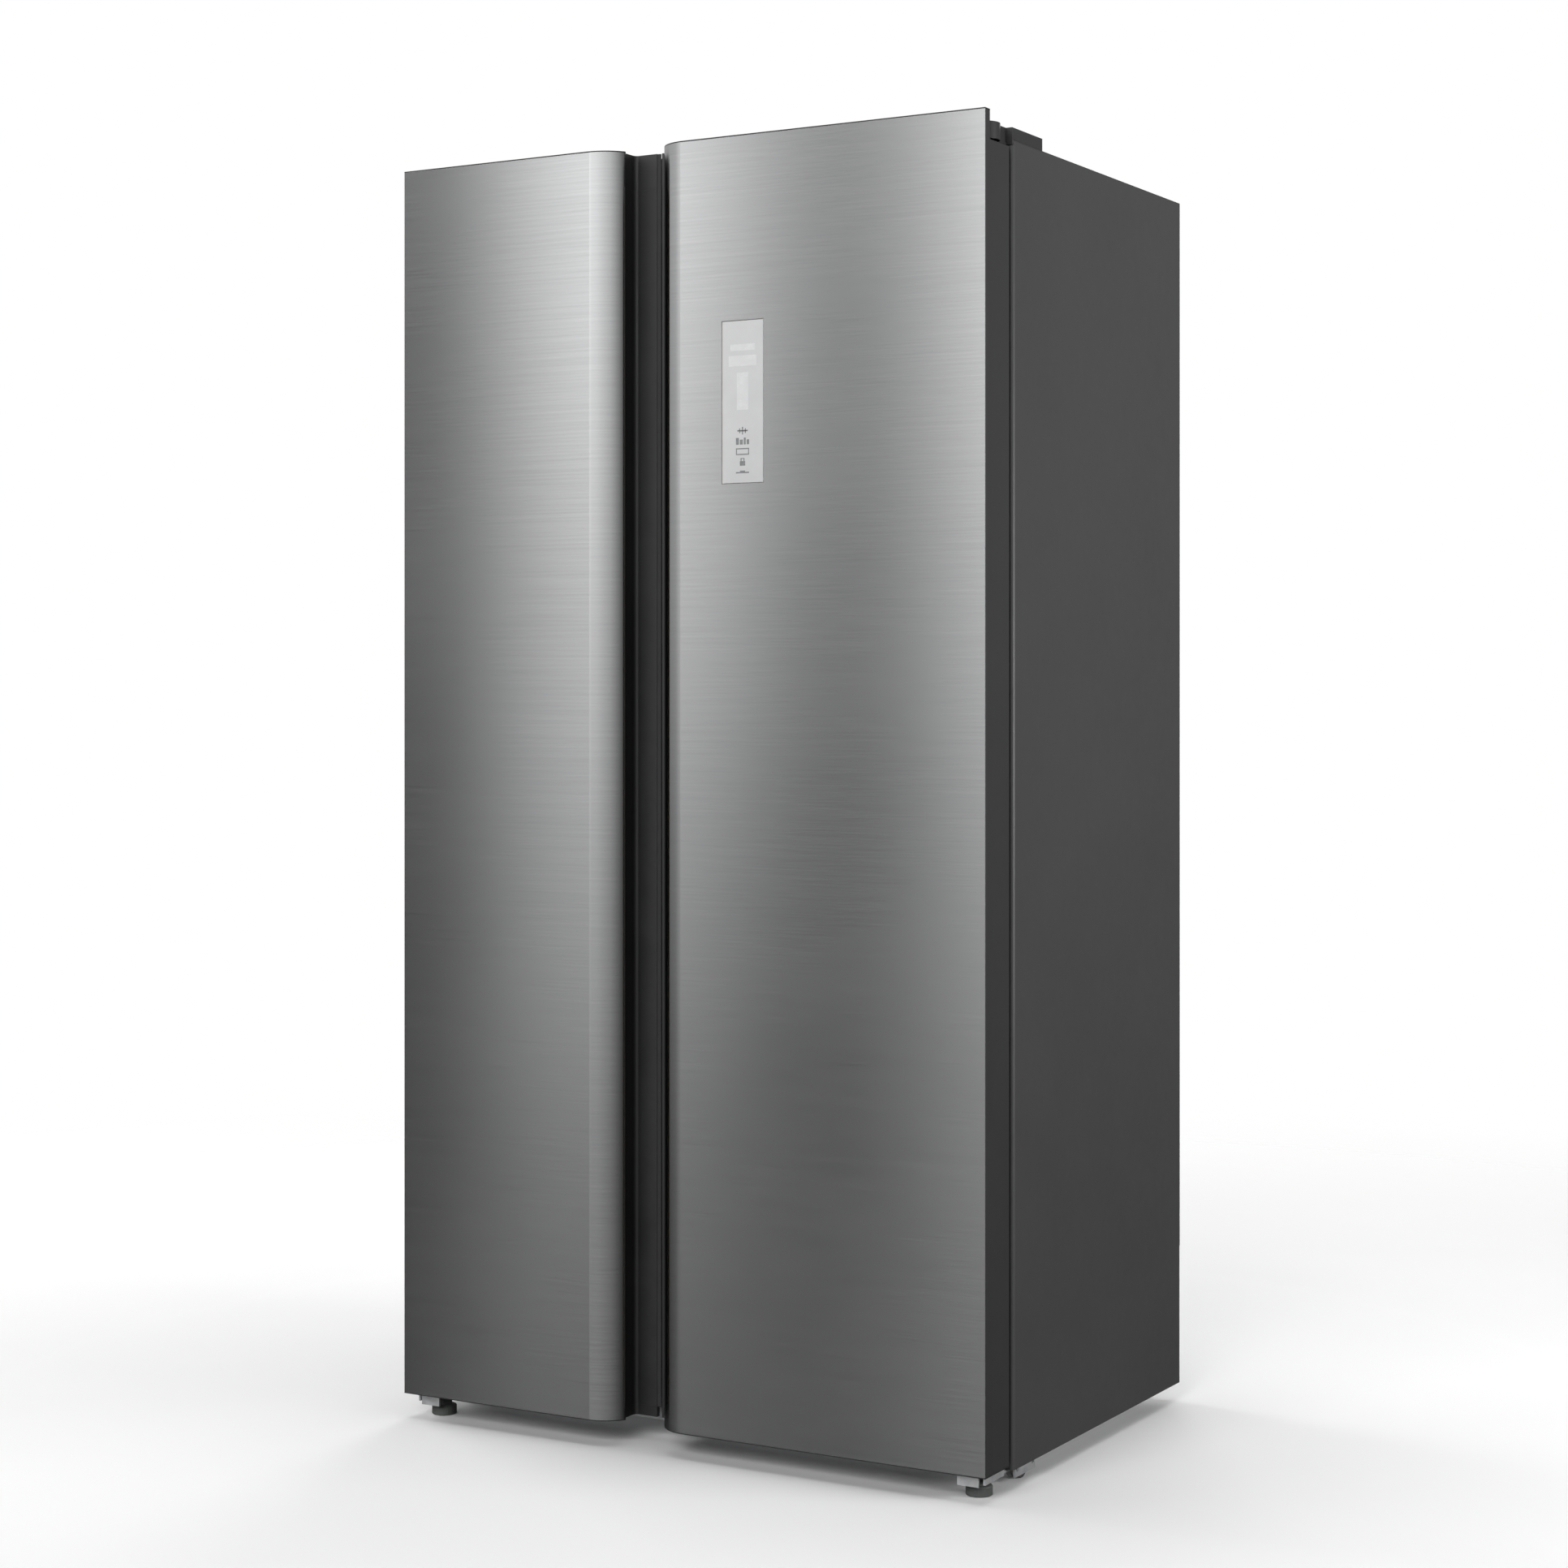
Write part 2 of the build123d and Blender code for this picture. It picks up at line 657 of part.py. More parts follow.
def interior_lamps():
    """One lamp lens on the ceiling of each compartment."""
    pieces = []
    for span in (FREEZER, FRIDGE):
        middle = (span[0] + span[1]) / 2
        lens = block(middle - 60, middle + 60, -170, -110, INSIDE_TOP - 8, INSIDE_TOP)
        pieces.append(lens)
    return Compound(children=pieces)


def freezer_air_duct():
    """Rear wall of the freezer with air slots, and the fan motor on its bridge behind it."""
    x, y, z = EVAPORATOR_FAN
    front = FREEZER_DUCT_Y
    wall = block(FREEZER[0], FREEZER[1], front, front + 2, STEP_TOP, INSIDE_TOP)
    for level in (820, 1110, 1400):
        for row in range(4):
            slot_z = level + row * 16
            wall = wall - block(x - 90, x + 90, front - 1, front + 3, slot_z, slot_z + 8)
    for row in range(-4, 5):
        half = math.sqrt(EVAPORATOR_FAN_RADIUS**2 - (row * 10) ** 2)
        wall = wall - block(x - half, x + half, front - 1, front + 3, z + row * 10 - 3, z + row * 10 + 3)
    motor_y = y + ROTOR_DEPTH / 2 + 4
    motor = rod_y(x, motor_y, motor_y + 26, z, 20)
    shaft = rod_y(x, y - ROTOR_DEPTH / 2 - 2, motor_y, z, SHAFT_RADIUS)
    reach = EVAPORATOR_FAN_RADIUS + 8
    bridge = block(x - reach - 8, x + reach + 8, motor_y, motor_y + 8, z - 6, z + 6)
    posts = [
        block(x + side * reach, x + side * (reach + 8), front + 2, motor_y, z - 6, z + 6) for side in (-1, 1)
    ]
    return fused([wall, motor, shaft, bridge, *posts])


def fridge_air_duct():
    """Hollow cover up the rear wall of the fridge, with a slot at every shelf."""
    middle = (FRIDGE[0] + FRIDGE[1]) / 2
    half = 90
    front = INSIDE_BACK - 30
    cover = block(middle - half, middle + half, front, INSIDE_BACK, 520, INSIDE_TOP)
    hollow = (middle - half + 2, middle + half - 2, front + 2, INSIDE_BACK + 1)
    cover = cover - block(*hollow, 522, INSIDE_TOP - 2)
    for level in (620, 870, 1120, 1370):
        for side in (-1, 1):
            x0, x1 = sorted((middle + side * 20, middle + side * 70))
            cover = cover - block(x0, x1, front - 1, front + 3, level, level + 8)
    return cover


def evaporator():
    """Finned evaporator behind the freezer's air duct."""
    rows_y = (COLD_COIL_Y[0] + 14, COLD_COIL_Y[1] - 15)
    return finned_coil(
        *COLD_COIL_X, rows_y, COLD_COIL_Z[0] + 14, 9, 28, 4, COLD_COIL_Y, COLD_COIL_Z, 14
    )


# ---------------------------------------------------------------- doors


class Door:
    """Plan of one door, drawn with its hinge on the right: free is its edge at the seam."""

    def __init__(self, free):
        self.free = free
        self.edge = free + STRIP_WIDTH
        self.bend = self.edge + BEND_WIDTH
        self.grip_inner = self.edge + GRIP_UNDERCUT
        self.grip_outer = self.grip_inner + GRIP_WALL
        self.strip_y = FRONT_Y + GRIP_DEPTH
        self.lip_y = FRONT_Y + BEND_DEPTH + EDGE_ROOM
        self.undercut_y = self.lip_y + GRIP_LIP

    def front_curve(self, inset):
        """Front line from the hinge side to the bend, and the bend's arc."""
        y = FRONT_Y + inset
        centre = (self.bend, FRONT_Y + BEND_RADIUS)
        turn = math.degrees(math.asin(BEND_WIDTH / BEND_RADIUS))
        arc = CenterArc(centre, BEND_RADIUS - inset, -90, -turn)
        return Line((SIDE_X, y), (self.bend, y)), arc

    def skin_face(self):
        """Section of the front sheet."""
        outer_line, outer_arc = self.front_curve(0)
        inner_line, inner_arc = self.front_curve(SKIN)
        hinge_end = Line(inner_line @ 0, outer_line @ 0)
        grip_end = Line(outer_arc @ 1, inner_arc @ 1)
        return make_face([outer_line, outer_arc, grip_end, inner_arc, inner_line, hinge_end])

    def pocket_face(self):
        """Section of the hand space at the seam, undercut behind the front sheet."""
        left = self.free - 5
        x_mid = (left + self.grip_inner) / 2
        y_mid = (self.undercut_y + self.strip_y) / 2
        room = Pos(x_mid, y_mid) * Rectangle(self.grip_inner - left, self.strip_y - self.undercut_y)
        room = fillet(room.vertices().filter_by(lambda v: v.X > x_mid), POCKET_CORNER)
        return room

    def envelope(self):
        """Section of the whole door with its hand space cut out."""
        line, arc = self.front_curve(0)
        edge_end = arc @ 1
        outline = Polyline(
            edge_end,
            (edge_end.X, self.undercut_y),
            (self.free, self.undercut_y),
            (self.free, DOOR_BACK),
            (SIDE_X, DOOR_BACK),
            (SIDE_X, FRONT_Y),
        )
        return make_face([line, arc, outline]) - self.pocket_face()

    def notch(self):
        """Space at the hinge corner for the hinge arm and its cover."""
        return block(
            SIDE_X - NOTCH_WIDTH, SIDE_X + 1, FRONT_Y + LIP_DEPTH, DOOR_BACK + 1, NOTCH_FLOOR, HEIGHT + 1
        )

    def body(self):
        """The whole door as one block, lowered behind its front lip except at the seam."""
        step = block(
            self.grip_outer, SIDE_X + 1, FRONT_Y + LIP_DEPTH, DOOR_BACK + 1, HEIGHT - LIP_DROP, HEIGHT + 1
        )
        return upright(self.envelope(), DOOR_BOTTOM, HEIGHT) - step - self.notch()


def door_skin(door, display):
    """Steel front sheet, open for the display where the door has one."""
    skin = upright(door.skin_face(), DOOR_BOTTOM + SKIN_MARGIN, HEIGHT - SKIN_MARGIN)
    if display:
        skin = skin - block(*DISPLAY_X, FRONT_Y - 1, FRONT_Y + SKIN + 1, *DISPLAY_Z)
    return skin


def door_side_trim():
    """Painted strip that closes the hinge side of the door."""
    trim = block(
        SIDE_X - 1.5, SIDE_X, FRONT_Y + SKIN, DOOR_BACK, DOOR_BOTTOM + SKIN_MARGIN, HEIGHT - SKIN_MARGIN
    )
    return trim - Door(0).notch()


def door_grip(door):
    """Moulded channel behind the front sheet's edge, and the strip that joins it to the seam."""
    x_mid = (door.free + door.grip_outer) / 2
    front = door.lip_y
    whole = Pos(x_mid, (front + DOOR_BACK) / 2) * Rectangle(door.grip_outer - door.free, DOOR_BACK - front)
    opening = Pos(door.edge - STRIP_WIDTH, front) * Rectangle(2 * STRIP_WIDTH, 2 * GRIP_LIP)
    low = DOOR_BOTTOM + CAP_SLAB
    high = NOTCH_FLOOR - 10
    channel = upright(whole - door.pocket_face() - opening, low, high)
    strip = block(door.free, door.grip_inner - POCKET_CORNER, door.strip_y, DOOR_BACK, low, high)
    return [channel - strip, strip]


def door_liner(door):
    """Inner sheet of the door with raised hollow walls that carry the bins."""
    low = DOOR_BOTTOM + CAP_SLAB
    high = NOTCH_FLOOR - 10
    sheet = block(door.grip_outer, SIDE_X - 1.5, DOOR_BACK - DYKE_SHEET, DOOR_BACK, low, high)
    free = door.free + DYKE_INSET

    def ring(inset, y0, y1):
        wide = DYKE_WIDTH - inset
        outer = block(free + inset, DYKE_HINGE_X - inset, y0, y1, DYKE_BOTTOM + inset, DYKE_TOP - inset)
        hole = block(free + wide, DYKE_HINGE_X - wide, y0, y1, DYKE_BOTTOM + wide, DYKE_TOP - wide)
        return outer - hole

    walls = ring(0, DOOR_BACK, DOOR_BACK + DYKE_DEPTH)
    hollow = ring(DYKE_SHEET, DOOR_BACK - DYKE_SHEET, DOOR_BACK + DYKE_DEPTH - DYKE_SHEET)
    return sheet + walls - hollow


def door_gasket(door):
    """Magnetic gasket round the back of the door, with a bellows groove."""
    x0 = door.free + GASKET_FREE
    x1 = SIDE_X - GASKET_HINGE
    y0 = DOOR_BACK
    y1 = CABINET_FRONT - 0.3
    wide = GASKET_WIDTH
    ring = block(x0, x1, y0, y1, GASKET_BOTTOM, GASKET_TOP)
    groove_y = (y0 + 4, y0 + 6.5)
    cut = 3
    groove = block(x0 - 1, x1 + 1, *groove_y, GASKET_BOTTOM - 1, GASKET_TOP + 1) - block(
        x0 + cut, x1 - cut, *groove_y, GASKET_BOTTOM + cut, GASKET_TOP - cut
    )
    hole = block(x0 + wide, x1 - wide, y0 - 1, y1 + 1, GASKET_BOTTOM + wide, GASKET_TOP - wide)
    return ring - hole - groove


def bush_seats():
    """The holes in the end caps that the hinge bushes fill."""
    top = rod(PIVOT_X, PIVOT_Y, NOTCH_FLOOR - 24, NOTCH_FLOOR, BUSH_RADIUS)
    bottom = rod(PIVOT_X, PIVOT_Y, DOOR_BOTTOM, DOOR_BOTTOM + 24, BUSH_RADIUS)
    return top, bottom


def door_bushes():
    """Top and bottom hinge bushes pressed into the end caps."""
    top, bottom = bush_seats()
    flange = rod(PIVOT_X, PIVOT_Y, NOTCH_FLOOR, NOTCH_FLOOR + 2, BUSH_RADIUS + 3)
    top_bore = rod(PIVOT_X, PIVOT_Y, NOTCH_FLOOR - 30, NOTCH_FLOOR + 5, TOP_PIN + RUNNING_GAP)
    bottom_bore = rod(PIVOT_X, PIVOT_Y, DOOR_BOTTOM - 5, DOOR_BOTTOM + 30, BOTTOM_PIN + RUNNING_GAP)
    return [top + flange - top_bore, bottom - bottom_bore]


def door_caps(door, others):
    """Moulded top and bottom caps, each with a boss round its hinge bush."""
    body = door.body()
    top_low = NOTCH_FLOOR - 10
    top = block(door.free - 1, SIDE_X, FRONT_Y, DOOR_BACK, top_low, HEIGHT)
    top = top + rod(PIVOT_X, PIVOT_Y, NOTCH_FLOOR - 28, top_low, BOSS_RADIUS)
    bottom = block(door.free - 1, SIDE_X, FRONT_Y, DOOR_BACK, DOOR_BOTTOM, DOOR_BOTTOM + CAP_SLAB)
    bottom = bottom + rod(PIVOT_X, PIVOT_Y, DOOR_BOTTOM + CAP_SLAB, DOOR_BOTTOM + 28, BOSS_RADIUS)
    caps = []
    for cap in (top, bottom):
        shape = body & cap
        for other in others:
            shape = shape - other
        caps.append(shape.solids().sort_by(SortBy.VOLUME)[-1])
    return caps


def door_foam(door, others):
    """Insulation that fills the door and its raised inner walls."""
    free = door.free + DYKE_INSET
    ridge = block(free, DYKE_HINGE_X, DOOR_BACK, DOOR_BACK + DYKE_DEPTH, DYKE_BOTTOM, DYKE_TOP)
    wide = DYKE_WIDTH
    ridge = ridge - block(
        free + wide,
        DYKE_HINGE_X - wide,
        DOOR_BACK - 1,
        DOOR_BACK + DYKE_DEPTH + 1,
        DYKE_BOTTOM + wide,
        DYKE_TOP - wide,
    )
    edge_room = block(
        door.edge - 1, door.edge + 2, FRONT_Y + BEND_DEPTH - 1, door.undercut_y, DOOR_BOTTOM, HEIGHT
    )
    foam = door.body() + ridge - edge_room
    for other in others:
        foam = foam - other
    return foam.solids().sort_by(SortBy.VOLUME)[-1]


def door_bins(door):
    """Bins that clip between the raised walls of the door lining."""
    x0 = door.free + DYKE_INSET + DYKE_WIDTH
    x1 = DYKE_HINGE_X - DYKE_WIDTH
    wall = BIN_WALL
    pieces = []
    for z, height, reach in BINS:
        box = block(x0, x1, DOOR_BACK, reach, z, z + height)
        room = block(x0 + wall, x1 - wall, DOOR_BACK + wall, reach - wall, z + wall, z + height + 1)
        low_back = block(x0 + wall, x1 - wall, DOOR_BACK - 1, DOOR_BACK + wall, z + 30, z + height + 1)
        pieces.append(box - room - low_back)
    return Compound(children=pieces)


def display_parts():
    """Lens flush in the door skin, and the board in its housing behind it."""
    gap = DISPLAY_GAP
    x0, x1 = DISPLAY_X[0] + gap, DISPLAY_X[1] - gap
    z0, z1 = DISPLAY_Z[0] + gap, DISPLAY_Z[1] - gap
    lens_back = FRONT_Y + LENS_SETBACK + LENS_THICK
    lens = block(x0, x1, FRONT_Y + LENS_SETBACK, lens_back, z0, z1)
    board = block(x0, x1, lens_back, lens_back + BOARD_THICK, z0, z1)
    return lens, board


def make_door(name, free, display, place):
    """All the parts of one door, under names that start with the door's own."""
    door = Door(free)
    skin = door_skin(door, display)
    trim = door_side_trim()
    grip = door_grip(door)
    lining = door_liner(door)
    bushes = door_bushes()
    taken = [skin, trim, *grip, lining, *bush_seats()]
    if display:
        lens, board = display_parts()
        window = block(*DISPLAY_X, FRONT_Y, FRONT_Y + LENS_SETBACK + LENS_THICK + BOARD_THICK, *DISPLAY_Z)
        taken.append(window)
    caps = door_caps(door, taken)
    foam = door_foam(door, [*taken, *caps])
    parts = {
        "skin": skin,
        "side_trim": trim,
        "grip": Compound(children=grip),
        "end_caps": Compound(children=[*caps, *bushes]),
        "foam": foam,
        "liner": lining,
        "gasket": door_gasket(door),
        "bins": door_bins(door),
    }
    for part, shape in parts.items():
        export_step(place(shape), f"parts/{name}_{part}.step")
    if display:
        export_step(place(lens), "parts/display_lens.step")
        export_step(place(board), "parts/display_board.step")


# ---------------------------------------------------------------- all parts


def pairs():
    """Parts that exist once on each side, drawn on the right."""
    return {
        "side_panel": side_panel(),
        "top_hinge": top_hinge(),
        "hinge_cover": hinge_cover(),
        "bottom_hinge": bottom_hinge(),
        "front_foot": front_foot(),
        "front_roller": roller(FRONT_ROLLER),
        "rear_roller": roller(REAR_ROLLER),
    }


def singles():
    """Parts that exist once."""
    liners = [liner(FREEZER), liner(FRIDGE)]
    rear_bracket = rear_roller_bracket()
    warm_rotor = fan_rotor(CONDENSER_FAN_RADIUS, CONDENSER_HUB, ROTOR_DEPTH)
    cold_rotor = fan_rotor(EVAPORATOR_FAN_RADIUS, EVAPORATOR_HUB, ROTOR_DEPTH)
    return {
        "top_panel": top_panel(),
        "back_panel": back_panel(),
        "base_pan": base_pan(),
        "mullion_cover": mullion_cover(),
        "cabinet_foam": cabinet_foam(liners),
        "freezer_liner": liners[0],
        "fridge_liner": liners[1],
        "rear_roller_brackets": Compound(children=[rear_bracket, left_of(rear_bracket)]),
        "machine_tray": machine_tray(),
        "compressor": compressor(),
        "condenser": condenser(),
        "condenser_fan_shroud": condenser_fan_shroud(),
        "condenser_fan": Pos(*CONDENSER_FAN) * Rot(0, 90, 0) * warm_rotor,
        "drain_tray": drain_tray(),
        "compressor_cover": compressor_cover(),
        "cord_gland": cord_gland(),
        "evaporator": evaporator(),
        "evaporator_fan": Pos(*EVAPORATOR_FAN) * Rot(90, 0, 0) * cold_rotor,
        "freezer_air_duct": freezer_air_duct(),
        "fridge_air_duct": fridge_air_duct(),
        "freezer_shelves": shelves(FREEZER, FREEZER_DUCT_Y - 2, FREEZER_SHELVES),
        "fridge_shelves": shelves(FRIDGE, 205, FRIDGE_SHELVES),
        "drawer_rails": drawer_rails(),
        "interior_lamps": interior_lamps(),
        "crisper_lower": drawer(FRIDGE, LOWER_DRAWER),
        "crisper_upper": drawer(FRIDGE, UPPER_DRAWER),
        "freezer_drawer_lower": drawer(FREEZER, LOWER_DRAWER),
        "freezer_drawer_upper": drawer(FREEZER, UPPER_DRAWER),
    }


def main():
    os.makedirs("parts", exist_ok=True)
    for name, shape in pairs().items():
        export_step(shape, f"parts/{name}_right.step")
        export_step(left_of(shape), f"parts/{name}_left.step")
    for name, shape in singles().items():
        export_step(shape, f"parts/{name}.step")
    make_door("fridge_door", SEAM_X + SEAM_WIDTH / 2, True, lambda shape: shape)
    make_door("freezer_door", -SEAM_X + SEAM_WIDTH / 2, False, left_of)


main()
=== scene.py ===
import json
import math

import bmesh
import bpy
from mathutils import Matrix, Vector


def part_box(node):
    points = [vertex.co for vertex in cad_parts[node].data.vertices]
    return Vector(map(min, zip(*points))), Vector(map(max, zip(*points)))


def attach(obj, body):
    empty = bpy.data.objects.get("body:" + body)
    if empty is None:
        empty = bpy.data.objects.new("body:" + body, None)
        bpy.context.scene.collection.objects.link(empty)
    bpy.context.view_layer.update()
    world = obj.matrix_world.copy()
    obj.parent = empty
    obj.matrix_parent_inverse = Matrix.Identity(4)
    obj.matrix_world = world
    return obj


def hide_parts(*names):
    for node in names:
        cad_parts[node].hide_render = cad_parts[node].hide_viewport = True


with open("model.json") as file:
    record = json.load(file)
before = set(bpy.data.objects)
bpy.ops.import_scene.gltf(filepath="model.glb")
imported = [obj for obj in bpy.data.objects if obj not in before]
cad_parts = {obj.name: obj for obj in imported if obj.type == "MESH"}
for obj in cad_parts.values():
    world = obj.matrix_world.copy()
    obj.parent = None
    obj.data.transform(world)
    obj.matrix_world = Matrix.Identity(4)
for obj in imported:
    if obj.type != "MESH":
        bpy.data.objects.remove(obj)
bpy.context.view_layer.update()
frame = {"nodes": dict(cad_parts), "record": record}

NODES = frame["nodes"]
BODY_OF = {node: body for body, nodes in frame["record"]["behaviour"]["bodies"].items() for node in nodes}
SLOT_OF = {row["node"]: row["material_slot"] for row in frame["record"]["subparts"]}
MM = 0.001


# ---------------------------------------------------------------- material helpers


class Paint:
    """A procedural material under construction, over one Principled shader."""

    def __init__(self, name, **values):
        self.material = bpy.data.materials.new(name)
        self.material.use_nodes = True
        self.tree = self.material.node_tree
        self.shader = self.tree.nodes["Principled BSDF"]
        self.place = self.tree.nodes.new("ShaderNodeTexCoord").outputs["Object"]
        self.last_bump = None
        self.set(**values)

    def set(self, **values):
        """Sets constant values on the shader's own sockets."""
        for key, value in values.items():
            name = key.replace("_", " ")
            for socket in self.shader.inputs:
                if socket.name.lower() == name:
                    socket.default_value = (*value, 1.0) if name.endswith(("color", "tint")) else value

    def node(self, kind, **settings):
        made = self.tree.nodes.new(kind)
        for key, value in settings.items():
            setattr(made, key, value)
        return made

    def link(self, output, target):
        self.tree.links.new(output, target)

    def stretched(self, x, y, z):
        """Object coordinates scaled along each axis."""
        mapping = self.node("ShaderNodeMapping")
        mapping.inputs["Scale"].default_value = (x, y, z)
        self.link(self.place, mapping.inputs["Vector"])
        return mapping.outputs["Vector"]

    def noise(self, scale, detail=4.0, rough=0.5, stretch=(1, 1, 1), distortion=0.0):
        """Noise at so many waves a metre, stretched along the axes."""
        made = self.node("ShaderNodeTexNoise")
        made.inputs["Scale"].default_value = scale
        made.inputs["Detail"].default_value = detail
        made.inputs["Roughness"].default_value = rough
        made.inputs["Distortion"].default_value = distortion
        self.link(self.stretched(*stretch), made.inputs["Vector"])
        return made.outputs["Fac"]

    def cells(self, scale, feature="F1", output="Distance", stretch=(1, 1, 1)):
        """Voronoi cells at so many a metre."""
        made = self.node("ShaderNodeTexVoronoi", feature=feature)
        made.inputs["Scale"].default_value = scale
        self.link(self.stretched(*stretch), made.inputs["Vector"])
        return made.outputs[output]

    def math(self, operation, a, b=0.0):
        made = self.node("ShaderNodeMath", operation=operation)
        for socket, value in zip(made.inputs, (a, b)):
            if isinstance(value, (int, float)):
                socket.default_value = value
            else:
                self.link(value, socket)
        return made.outputs[0]

    def spread(self, value, low_in, high_in, low_out, high_out):
        """Maps a range of values on to another, held at its ends."""
        made = self.node("ShaderNodeMapRange")
        limits = {"From Min": low_in, "From Max": high_in, "To Min": low_out, "To Max": high_out}
        for name, number in limits.items():
            made.inputs[name].default_value = number
        self.link(value, made.inputs["Value"])
        return made.outputs["Result"]

    def ramp(self, value, *stops):
        """A colour for each value, from (place, colour) stops."""
        made = self.node("ShaderNodeValToRGB")
        elements = made.color_ramp.elements
        while len(elements) < len(stops):
            elements.new(0.5)
        for element, (place, colour) in zip(elements, stops):
            element.position = place
            element.color = (*colour, 1.0)
        self.link(value, made.inputs["Fac"])
        return made.outputs["Color"]

    def mix(self, value, first, second, blend="MIX"):
        """Blends two colours, each a colour or a socket."""
        made = self.node("ShaderNodeMix", data_type="RGBA", blend_type=blend)
        if isinstance(value, (int, float)):
            made.inputs["Factor"].default_value = value
        else:
            self.link(value, made.inputs["Factor"])
        for index, colour in ((6, first), (7, second)):
            if isinstance(colour, tuple):
                made.inputs[index].default_value = (*colour, 1.0)
            else:
                self.link(colour, made.inputs[index])
        return made.outputs[2]

    def colour(self, output):
        self.link(output, self.shader.inputs["Base Color"])

    def roughness(self, output):
        self.link(output, self.shader.inputs["Roughness"])

    def bump(self, height, distance, strength=1.0):
        """Adds relief of this depth in metres to the surface."""
        made = self.node("ShaderNodeBump")
        made.inputs["Strength"].default_value = strength
        made.inputs["Distance"].default_value = distance
        self.link(height, made.inputs["Height"])
        if self.last_bump is not None:
            self.link(self.last_bump, made.inputs["Normal"])
        self.last_bump = made.outputs["Normal"]
        self.link(self.last_bump, self.shader.inputs["Normal"])


def paler(colour, factor):
    """A colour made lighter by a factor, up to white."""
    return tuple(min(1.0, factor * part) for part in colour)


def edge_wear(paint, base, worn, amount=0.5):
    """Lets a base colour go to a worn one along convex edges."""
    pointiness = paint.node("ShaderNodeNewGeometry").outputs["Pointiness"]
    patchy = paint.noise(60, 5, 0.6)
    edge = paint.spread(pointiness, 0.52, 0.60, 0.0, amount)
    return paint.mix(paint.math("MULTIPLY", edge, patchy), base, worn)


def smudges(paint, low, high, scale=7):
    """Roughness that varies in soft patches, as on handled surfaces."""
    broad = paint.noise(scale, 3, 0.55)
    fine = paint.noise(scale * 9, 6, 0.65)
    both = paint.math("ADD", paint.math("MULTIPLY", broad, 0.65), paint.math("MULTIPLY", fine, 0.35))
    return paint.spread(both, 0.35, 0.65, low, high)


# ---------------------------------------------------------------- materials


def brushed_steel():
    """Door sheet with fine horizontal brushing, which draws highlights out vertically."""
    paint = Paint("brushed_steel", metallic=1.0, anisotropic=0.95, anisotropic_rotation=0.25)
    tangent = paint.node("ShaderNodeTangent", direction_type="RADIAL", axis="Z")
    paint.link(tangent.outputs["Tangent"], paint.shader.inputs["Tangent"])
    hairs = paint.noise(1, 3, 0.7, (14, 14, 2600))
    coarse = paint.noise(1, 4, 0.6, (5, 5, 420))
    cloud = paint.noise(1.6, 3, 0.5)
    tone = paint.ramp(hairs, (0.3, (0.375, 0.38, 0.383)), (0.7, (0.425, 0.428, 0.428)))
    tone = paint.mix(paint.spread(coarse, 0.35, 0.7, 0.0, 0.30), tone, (0.345, 0.348, 0.352))
    tone = paint.mix(paint.spread(cloud, 0.3, 0.7, 0.0, 0.12), tone, (0.46, 0.46, 0.45))
    paint.colour(tone)
    both = paint.math("ADD", paint.math("MULTIPLY", hairs, 0.6), paint.math("MULTIPLY", coarse, 0.4))
    fine_rough = paint.spread(both, 0.3, 0.7, 0.16, 0.20)
    broad_rough = paint.spread(cloud, 0.3, 0.7, 0.0, 0.02)
    paint.roughness(paint.math("ADD", fine_rough, broad_rough))
    paint.bump(hairs, 0.000004, 0.5)
    return paint.material


def textured_paint(name, dark, light, low=0.42, high=0.47):
    """Baked enamel with orange peel and faint handling marks."""
    paint = Paint(name, coat_weight=0.06, coat_roughness=0.3, specular_ior_level=0.4)
    cloud = paint.noise(3.0, 4, 0.55)
    tone = paint.ramp(cloud, (0.3, dark), (0.7, light))
    paint.colour(edge_wear(paint, tone, paler(light, 1.9), 0.35))
    paint.roughness(smudges(paint, low, high))
    paint.bump(paint.noise(520, 2, 0.5), 0.00006, 0.35)
    return paint.material


def moulded(name, dark, light, low=0.42, high=0.58, grain=2600, depth=0.00005):
    """Moulded plastic with a fine spark eroded grain."""
    paint = Paint(name)
    tone = paint.ramp(paint.noise(9, 4, 0.6), (0.3, dark), (0.7, light))
    speck = paint.noise(900, 2, 0.5)
    tone = paint.mix(paint.spread(speck, 0.55, 0.75, 0.0, 0.25), tone, paler(light, 1.6))
    paint.colour(edge_wear(paint, tone, paler(light, 2.2), 0.4))
    paint.roughness(smudges(paint, low, high, 14))
    paint.bump(paint.cells(grain), depth, 0.4)
    return paint.material


def gloss_white(name, dark, light, low=0.16, high=0.3):
    """Glossy vacuum formed or moulded white plastic, with a soft ripple."""
    paint = Paint(name, coat_weight=0.25, coat_roughness=0.12, subsurface_weight=0.03)
    tone = paint.ramp(paint.noise(4, 4, 0.55), (0.3, dark), (0.7, light))
    paint.colour(tone)
    paint.roughness(smudges(paint, low, high, 9))
    paint.bump(paint.noise(38, 3, 0.5), 0.00025, 0.3)
    paint.bump(paint.noise(1500, 2, 0.5), 0.00003, 0.2)
    return paint.material


def rubber():
    """Matt black rubber with a faint bloom."""
    paint = Paint("black_rubber", sheen_weight=0.15, sheen_roughness=0.5)
    bloom = paint.noise(45, 5, 0.65)
    paint.colour(paint.ramp(bloom, (0.3, (0.012, 0.012, 0.013)), (0.75, (0.034, 0.034, 0.035))))
    paint.roughness(paint.spread(bloom, 0.3, 0.7, 0.62, 0.82))
    paint.bump(paint.noise(1400, 3, 0.6), 0.00006, 0.5)
    return paint.material


